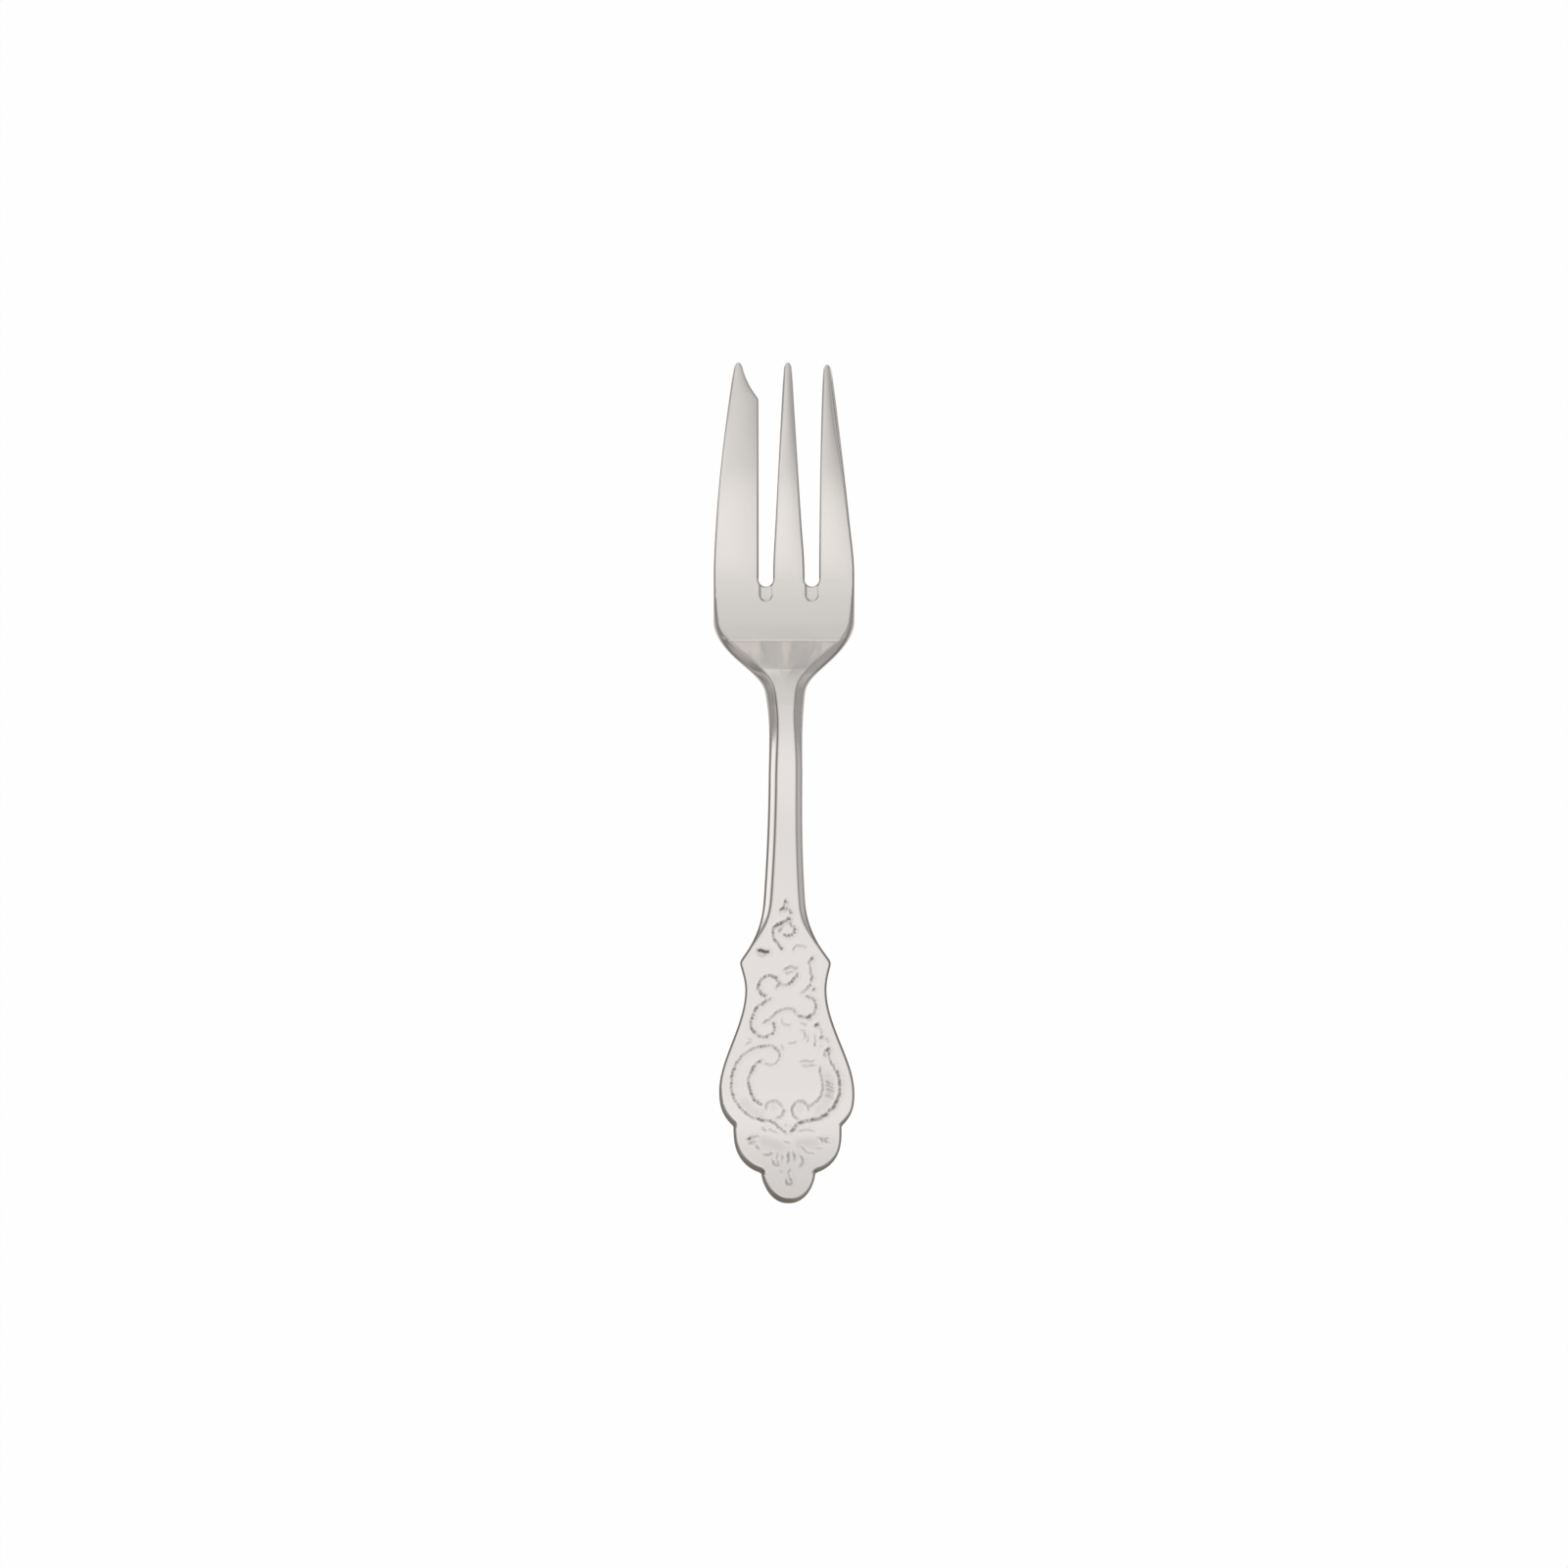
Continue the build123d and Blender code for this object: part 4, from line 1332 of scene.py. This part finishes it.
@dataclass
class Head:
    """Head and tines: a block that widens from the neck, slotted where the tines begin."""

    form: ForkForm
    finish: SilverFinish
    tines: tuple[TineForm, ...] = (CUTTING_TINE, MIDDLE_TINE, OUTER_TINE)
    head_start: float = HEAD_START
    tine_start: float = 117.0
    half_width: float = 13.0
    slot_radius: float = 1.35
    slot_end: float = 114.05
    step_start: float = 111.15
    step_depth: float = 0.2
    step_ease: float = 0.4
    # Painted shade on the slopes of the steps into the slots.
    step_painted_shade: float = 0.2
    slot_columns: int = 17
    slot_points: int = 25
    slot_sides: float = 6.0
    slot_zone: float = 109.0
    outline_before: float = 4.0
    outline_past: float = 2.0
    outline_points: int = 140
    neck_rows: int = 76
    slot_rows: int = 56
    root_rows: int = 14
    tine_rows: int = 112
    nose_rows: int = 14
    nose_stretch: float = 0.9
    rim_points: int = 400
    nose_points: int = 40
    slot_edge: float = 0.38
    slot_rim: float = 78.0
    narrow: float = 0.42
    crown: float = 0.1
    crown_knots: tuple[Knot, ...] = (
        (113.0, 0.0), (125.0, 1.0), (135.0, 1.1, 0.05), (145.0, 1.7), (150.0, 1.6), (155.0, 0.5),
    )
    # Share of the rim's tarnish and painted shade kept on the slots' walls.
    slot_tarnish_and_shade: float = 0.25
    facet_crown: float = 0.005
    facet_reach: float = 6.0
    facet_crown_knots: tuple[Knot, ...] = ((97.0, 0.0), (99.2, 1.0), (103.4, 0.4), (106.0, 0.0))
    # Two panels of painted shade on the facet beside its middle.
    panel: tuple[float, float] = (1.1, 4.6)
    panel_fade: float = 0.4
    panel_painted_shade: float = 0.08
    panel_knots: tuple[Knot, ...] = ((98.3, 0.0), (98.9, 1.0), (103.7, 1.0), (104.3, 0.0))

    def outer_edge(self, tine: TineForm, place: Array) -> Array:
        """Give the width of the edge on the outside of the fork, over the head and along a tine."""
        head = graded(place, self.form.front_edge_knots)
        return np.where(place < self.tine_start, head, graded(place, tine.outer_edge_knots))

    def edge_widths(self, tine: TineForm, places: Array, room: Array) -> tuple[Array, Array]:
        """Give the widths of a tine's edges across the fork.

        Formula: the outer edge's width over the cosine of the lean of the outline, the slots' own
        width elsewhere, and neither wider than there is room for.

        Args:
            tine: Edges of the tine.
            places: Places along the fork.
            room: Widest edge that there is room for.

        Returns:
            Width of the left and of the right edge at each place.
        """
        outer = self.outer_edge(tine, places) * np.hypot(1.0, self.form.lean(places))
        inner = np.full(places.shape, self.slot_edge)
        left = outer if tine.outside is Side.LEFT else inner
        right = outer if tine.outside is Side.RIGHT else inner
        return np.minimum(left, room), np.minimum(right, room)

    def slot_line(self, left: float, right: float) -> Array:
        """Give the outline of a slot's round end with a stretch of its two sides.

        Formula: a half circle, as the sine and cosine of its turn, between two straight sides.

        Args:
            left: Left side of the slot.
            right: Right side of the slot.

        Returns:
            The line as rows of x and place.
        """
        turn = np.linspace(0.0, math.pi, self.slot_points)
        middle, radius = (left + right) / 2, (right - left) / 2
        x = middle - radius * np.cos(turn)
        place = self.slot_end + radius - radius * np.sin(turn)
        high = self.slot_end + radius + self.slot_sides
        return np.vstack([[left, high], np.column_stack([x, place]), [right, high]])

    def block_grid(self) -> tuple[Array, Array, list[slice]]:
        """Set the grid of the block between the neck and the slots.

        Formula: columns keep their share of the width as the block widens. Rows go from the neck to
        the slots, closer together near these, and bend so that the last one follows the round slot
        ends.

        Returns:
            Sideways places, places along the fork, and the columns of each slot with both its rims.
        """
        top = self.slot_end + self.slot_radius
        neck = np.linspace(self.head_start, self.slot_zone, self.neck_rows, endpoint=False)
        places = np.concatenate([neck, np.linspace(self.slot_zone, top, self.slot_rows)])
        part = (places - self.head_start) / (top - self.head_start)
        share = self.form.half_width(places) / self.half_width
        turn = np.linspace(0.0, math.pi, self.slot_columns + 2)[1:-1]
        across, tops, slots = [], [], []
        count = 0
        for k, tine in enumerate(self.tines):
            left, right = (share * edge for edge in tine.edges(np.array([top])))
            left_edge, right_edge = self.edge_widths(tine, places, self.narrow * (right - left))
            strip = spread(left, right, left_edge, right_edge, tine.inner_columns)
            across.append(strip)
            tops.append(np.full(strip.shape[1], top))
            count += strip.shape[1]
            if k + 1 < len(self.tines):
                following = share * self.tines[k + 1].edges(np.array([top]))[0]
                middle, radius = (right + following) / 2, (following - right) / 2
                across.append(middle[:, None] - radius[:, None] * np.cos(turn))
                tops.append(top - self.slot_radius * np.sin(turn))
                slots.append(slice(count - 1, count + self.slot_columns + 1))
                count += self.slot_columns
        x = np.hstack(across)
        place = self.head_start + (np.concatenate(tops) - self.head_start) * part[:, None]
        return x, place, slots

    def block_sheet(self, upward: bool) -> tuple[Array, Array, list[slice]]:
        """Work out the front or back of the block.

        Formula: the face or underside, with the deepest of the falls of the outer edges and of the
        slots' edges, and on the front a shallow step that runs into each slot and a slight crown, as
        the square of the sideways place, on the facet at the neck. A thin film of painted shade lies
        on the facet in two panels beside its middle, with straight ramps for edges, and some on the
        slopes of the steps, as a parabola of the step's share.

        Args:
            upward: Whether this is the front.

        Returns:
            Points, tarnish with painted shade, and the columns of each slot.
        """
        x, place, slots = self.block_grid()
        ends = (self.head_start - self.outline_before, self.tine_start + self.outline_past)
        ladder = np.linspace(*ends, self.outline_points)
        outline = np.column_stack([self.form.half_width(ladder), ladder])
        outer, _ = beside(np.abs(x), place, outline)
        roots = [tine.edges(np.array([self.tine_start])) for tine in self.tines]
        inner = np.full(x.shape, np.inf)
        step = np.zeros(x.shape)
        for k in range(len(self.tines) - 1):
            left, right = float(roots[k][1][0]), float(roots[k + 1][0][0])
            inner = np.minimum(inner, beside(x, place, self.slot_line(left, right))[0])
            step = np.maximum(step, self.step(x, place, left, right))
        edge = graded(place, self.form.front_edge_knots)
        height, stain_and_shade = self.surface(outer, inner, place, edge, np.inf, upward)
        # Along the slots the rim keeps only a share of its tarnish and painted shade.
        stain_and_shade = np.where(inner < outer, stain_and_shade * self.slot_tarnish_and_shade, stain_and_shade)
        if upward:
            height = height - self.step_depth * step
            crown = self.facet_crown * np.minimum(np.abs(x), self.facet_reach) ** 2
            height = height - crown * graded(place, self.facet_crown_knots)
            # Painted shade: the crease line and neck film, the slopes of the steps, and two panels on
            # the facet.
            stain_and_shade = np.maximum(stain_and_shade, self.form.crease_painted_shade(outer, x, place, edge))
            stain_and_shade = np.maximum(stain_and_shade, self.step_painted_shade * 4.0 * step * (1.0 - step))
            inside = np.minimum(np.abs(x) - self.panel[0], self.panel[1] - np.abs(x))
            shade_film = self.panel_painted_shade * np.clip(inside / self.panel_fade, 0.0, 1.0)
            stain_and_shade = np.maximum(stain_and_shade, shade_film * graded(place, self.panel_knots))
        return np.stack([x, place, height], axis=-1), stain_and_shade, slots

    def step(self, x: Array, place: Array, left: float, right: float) -> Array:
        """Give the share of the shallow step that leads from the face into a slot.

        Formula: a smooth step over the inside of a blunt arch below the slot's own end, whose rise
        goes with the cube of the distance from the slot's middle.

        Args:
            x: Sideways places.
            place: Places along the fork.
            left: Left side of the slot.
            right: Right side of the slot.

        Returns:
            The share at each point, from 0 on the face to 1 on the step.
        """
        aside = np.abs(x - (left + right) / 2)
        radius = (right - left) / 2
        arch = self.step_start + radius * (aside / radius) ** 3
        inside = np.minimum(place - arch, radius - aside)
        part = np.clip(inside / self.step_ease, 0.0, 1.0)
        return part**2 * (3.0 - 2.0 * part)

    def surface(
        self,
        outer: Array,
        inner: Array,
        place: Array,
        outer_edge: Array,
        limit: Array | float,
        upward: bool,
    ) -> tuple[Array, Array]:
        """Give height, and tarnish with painted shade, from the distances to the outer rim and to the
        slots' rims.

        Args:
            outer: Distance from the fork's outline.
            inner: Distance from the nearest slot.
            place: Places along the fork.
            outer_edge: Width of the edge along the outline.
            limit: Widest edge that there is room for.
            upward: Whether this is the front.

        Returns:
            Height, and tarnish with painted shade, at each point.
        """
        slot_edge = np.minimum(self.slot_edge, limit)
        outer_edge = np.minimum(outer_edge, limit)
        slot_fall = edge_drop(inner, slot_edge, 0.0, self.slot_rim)
        # Tarnish and painted shade along the outline and along the slots.
        stain_and_shade = np.maximum(
            self.form.rim_tarnish_and_shade(outer, place, outer_edge),
            self.form.rim_tarnish_and_shade(inner, place, slot_edge),
        )
        if not upward:
            fall = np.maximum(self.form.back_drop(outer, place, limit), slot_fall)
            return self.form.underside(place) + fall, self.form.back_tarnish_and_shade * stain_and_shade
        whole = self.form.front_height(outer, place, outer_edge)
        return np.minimum(whole, self.form.face(place) - slot_fall), stain_and_shade

    def tine_sheet(self, tine: TineForm, places: Array, upward: bool) -> tuple[Array, Array]:
        """Work out the front or back of one tine.

        Formula: as for the block, with the front crowned by a parabola across the tine, and
        leaning to one side by its twist.

        Args:
            tine: Edges of the tine.
            places: Rows of the sheet.
            upward: Whether this is the front.

        Returns:
            Points, and tarnish with painted shade.
        """
        left, right = tine.edges(places)
        room = self.narrow * (right - left)
        x = spread(left, right, *self.edge_widths(tine, places, room), tine.inner_columns)
        place = np.broadcast_to(places[:, None], x.shape)
        even = np.linspace(places[0], tine.tip, self.rim_points)
        to_tip = np.linspace(1.0, 0.0, self.nose_points) ** 2
        path = np.sort(np.concatenate([even, tine.tip - tine.nose * to_tip]))
        left_line, right_line = tine.edges(path)
        tip = [(left_line[-1] + right_line[-1]) / 2, tine.tip]
        from_left, _ = beside(x, place, np.vstack([np.column_stack([left_line, path]), tip]))
        from_right, _ = beside(x, place, np.vstack([np.column_stack([right_line, path]), tip]))
        far = np.full(x.shape, np.inf)
        outer = {Side.LEFT: from_left, Side.RIGHT: from_right, Side.NEITHER: far}[tine.outside]
        inner = {
            Side.LEFT: from_right,
            Side.RIGHT: from_left,
            Side.NEITHER: np.minimum(from_left, from_right),
        }[tine.outside]
        edge = self.outer_edge(tine, place)
        height, stain_and_shade = self.surface(outer, inner, place, edge, room[:, None], upward)
        if upward:
            aside = x - (left + right)[:, None] / 2
            offset = 2.0 * aside / (right - left)[:, None]
            height = height + self.crown * (1.0 - offset**2) * graded(place, self.crown_knots)
            height = height - graded(place, tine.twist_knots) * aside
        return np.stack([x, place, height], axis=-1), stain_and_shade

    def build(self) -> list[bpy.types.Object]:
        """Build the head with the roots of its tines, and the three tines.

        Returns:
            The four pieces.
        """
        look = self.finish.material()
        shell = Shell()
        front_points, front_stain, slots = self.block_sheet(upward=True)
        back_points, back_tarnish_and_shade, _ = self.block_sheet(upward=False)
        front = shell.sheet(front_points, front_stain, upward=True)
        back = shell.sheet(back_points, back_tarnish_and_shade, upward=False)
        shell.sides(front, back)
        shell.start_cap(front, back)
        for slot in slots:
            shell.wall(back[-1, slot], front[-1, slot])
        made = []
        root = np.linspace(self.slot_end + self.slot_radius, self.tine_start, self.root_rows)
        for tine in self.tines:
            roots = [
                shell.sheet(*self.tine_sheet(tine, root, upward), upward=upward)
                for upward in (True, False)
            ]
            shell.sides(*roots)
            shell.end_cap(*roots)
            made.append(self.build_tine(tine, look))
        head = shell.piece("polished_head", "head", "polished_silver", look)
        return [head, *made]

    def build_tine(self, tine: TineForm, look: bpy.types.Material) -> bpy.types.Object:
        """Build one tine from the head to its tip, with rows crowded at the nose as squares.

        Args:
            tine: Edges of the tine.
            look: Material of the tine.

        Returns:
            The piece.
        """
        nose_start = tine.tip - self.nose_stretch
        even = np.linspace(self.tine_start, nose_start, self.tine_rows, endpoint=False)
        left_to_go = np.linspace(1.0, 0.0, self.nose_rows) ** 2
        places = np.concatenate([even, tine.tip - self.nose_stretch * left_to_go])
        shell = Shell()
        front = shell.sheet(*self.tine_sheet(tine, places, True), upward=True)
        back = shell.sheet(*self.tine_sheet(tine, places, False), upward=False)
        shell.close(front, back)
        return shell.piece(f"polished_{tine.node}", tine.node, "polished_silver", look)


@dataclass(frozen=True)
class Glow:
    """A soft patch of light in the studio's sky."""

    direction: tuple[float, float, float]
    spread_degrees: float
    strength: float


@dataclass
class Studio:
    """Pale floor, soft tent of light and the camera above."""

    floor_radius: float = 4.0
    floor_rings: int = 3
    floor_turns: int = 64
    floor_colour: str = "#F4F4F2"
    white_share: float = 0.985
    side_light: float = 0.39
    band_light: float = 0.33
    band_left: tuple[float, float] = (-0.65, -0.3)
    band_right: tuple[float, float] = (-0.25, 0.5)
    horizon_share: float = 0.85
    horizon_height: float = 0.6
    glows: tuple[Glow, ...] = (
        Glow((0.0, -0.18, 0.98), 13.0, 0.07),
        Glow((0.0, -0.23, 0.97), 25.0, 0.07),
        Glow((0.0, 0.0, 1.0), 26.0, 0.085),
        Glow((0.0, 0.83, 0.55), 16.0, 0.09),
        Glow((-0.35, -0.3, 0.88), 14.0, 0.2),
        Glow((-0.86, -0.07, 0.5), 20.0, 0.6),
        Glow((0.86, -0.2, 0.47), 20.0, 0.1),
    )
    lens: float = 200.0
    sensor: float = 36.0
    frame_width: float = 289.2
    focus_height: float = 5.0
    sight: float = 100.0

    def build_floor(self) -> None:
        """Lay the floor: a disc on a grid of radius and turn, white to the camera, with shadow."""
        radius = np.linspace(0.0, self.floor_radius, self.floor_rings)[1:, None]
        turn = np.linspace(0.0, 2.0 * math.pi, self.floor_turns, endpoint=False)[None, :]
        flat = np.stack([radius * np.cos(turn), radius * np.sin(turn), 0.0 * radius * turn], axis=-1)
        ids = np.arange(flat[..., 0].size).reshape(flat.shape[:2])
        ahead = np.roll(ids, -1, axis=1)
        quads = np.stack([ids[:-1], ids[1:], ahead[1:], ahead[:-1]], axis=-1).reshape(-1, 4)
        mesh = bpy.data.meshes.new("floor")
        mesh.from_pydata(flat.reshape(-1, 3).tolist(), [], [ids[0].tolist(), *quads.tolist()])
        look = bpy.data.materials.new("matt_white_floor")
        look.use_nodes = True
        tree = look.node_tree
        tree.nodes.clear()
        path = add_node(tree, "ShaderNodeLightPath", {}).outputs
        seen = path["Is Camera Ray"]
        for ray in ("Is Glossy Ray", "Is Transmission Ray"):
            seen = add_node(
                tree, "ShaderNodeMath", {0: seen, 1: path[ray]}, operation="MAXIMUM"
            ).outputs["Value"]
        share = add_node(
            tree, "ShaderNodeMath", {0: seen, 1: self.white_share}, operation="MULTIPLY"
        ).outputs["Value"]
        matt = add_node(tree, "ShaderNodeBsdfDiffuse", {"Color": linear(self.floor_colour)})
        white = add_node(tree, "ShaderNodeEmission", {"Strength": 1.0})
        mixed = add_node(
            tree,
            "ShaderNodeMixShader",
            {0: share, 1: matt.outputs["BSDF"], 2: white.outputs["Emission"]},
        )
        add_node(tree, "ShaderNodeOutputMaterial", {"Surface": mixed.outputs["Shader"]})
        mesh.materials.append(look)
        floor = bpy.data.objects.new("floor", mesh)
        bpy.context.scene.collection.objects.link(floor)

    def build_tent(self) -> None:
        """Hang the light: a bright band from front to back over the fork, with soft glows in it.

        Formula: strength rises smoothly from the left side to the band and falls smoothly to the
        right side, all of it a little lower near the horizon. Each glow adds a patch that falls off
        smoothly in the cosine of the angle from its middle.
        """
        world = bpy.data.worlds.new("studio_tent")
        world.use_nodes = True
        bpy.context.scene.world = world
        tree = world.node_tree
        tree.nodes.clear()
        ray = add_node(tree, "ShaderNodeTexCoord", {}).outputs["Generated"]
        axes = add_node(tree, "ShaderNodeSeparateXYZ", {"Vector": ray}).outputs
        ramps = (
            (axes["X"], self.band_left, (self.side_light, self.side_light + self.band_light)),
            (axes["X"], self.band_right, (0.0, -self.band_light)),
            (axes["Z"], (0.0, self.horizon_height), (self.horizon_share, 1.0)),
        )
        rising, falling, low = [
            add_node(
                tree,
                "ShaderNodeMapRange",
                {
                    "Value": value,
                    "From Min": reach[0],
                    "From Max": reach[1],
                    "To Min": levels[0],
                    "To Max": levels[1],
                },
                interpolation_type="SMOOTHSTEP",
            ).outputs["Result"]
            for value, reach, levels in ramps
        ]
        band = add_node(
            tree, "ShaderNodeMath", {0: rising, 1: falling}, operation="ADD"
        ).outputs["Value"]
        strength = add_node(
            tree, "ShaderNodeMath", {0: band, 1: low}, operation="MULTIPLY"
        ).outputs["Value"]
        for glow in self.glows:
            middle = tuple(np.array(glow.direction) / np.linalg.norm(glow.direction))
            cosine = add_node(
                tree, "ShaderNodeVectorMath", {0: ray, 1: middle}, operation="DOT_PRODUCT"
            ).outputs["Value"]
            patch = add_node(
                tree,
                "ShaderNodeMapRange",
                {
                    "Value": cosine,
                    "From Min": math.cos(math.radians(glow.spread_degrees)),
                    "From Max": 1.0,
                    "To Min": 0.0,
                    "To Max": glow.strength,
                },
                interpolation_type="SMOOTHSTEP",
            ).outputs["Result"]
            strength = add_node(
                tree, "ShaderNodeMath", {0: strength, 1: patch}, operation="ADD"
            ).outputs["Value"]
        light = add_node(
            tree, "ShaderNodeBackground", {"Color": linear(WHITE), "Strength": strength}
        )
        add_node(tree, "ShaderNodeOutputWorld", {"Surface": light.outputs["Background"]})

    def build_camera(self) -> None:
        """Set the camera straight above the middle of the fork, at the picture's scale."""
        lens = bpy.data.cameras.new("camera")
        lens.lens = self.lens
        lens.sensor_width = self.sensor
        lens.clip_end = self.sight
        camera = bpy.data.objects.new("camera", lens)
        distance = self.frame_width * self.lens / self.sensor
        camera.location = (0.0, 0.0, (distance + self.focus_height) * MM)
        bpy.context.scene.collection.objects.link(camera)
        bpy.context.scene.camera = camera

    def build(self) -> None:
        """Build the floor, the light and the camera."""
        self.build_floor()
        self.build_tent()
        self.build_camera()
        bpy.context.scene.view_settings.view_transform = "Standard"


def main() -> None:
    """Dress the fork and light it."""
    logging.basicConfig(level=logging.INFO, format="%(name)s: %(message)s")
    form = ForkForm()
    shank = Shank(form, Ornament(SCROLLWORK), SilverFinish("chased_aged_silver", mirror=0.1))
    head = Head(form, SilverFinish("polished_forged_silver", mirror=0.07, silver="#F2EDE9"))
    for piece in [*shank.build(), *head.build()]:
        log.info("%s: %d faces", piece.name, len(piece.data.polygons))
    Studio().build()


if __name__ == "__main__":
    main()
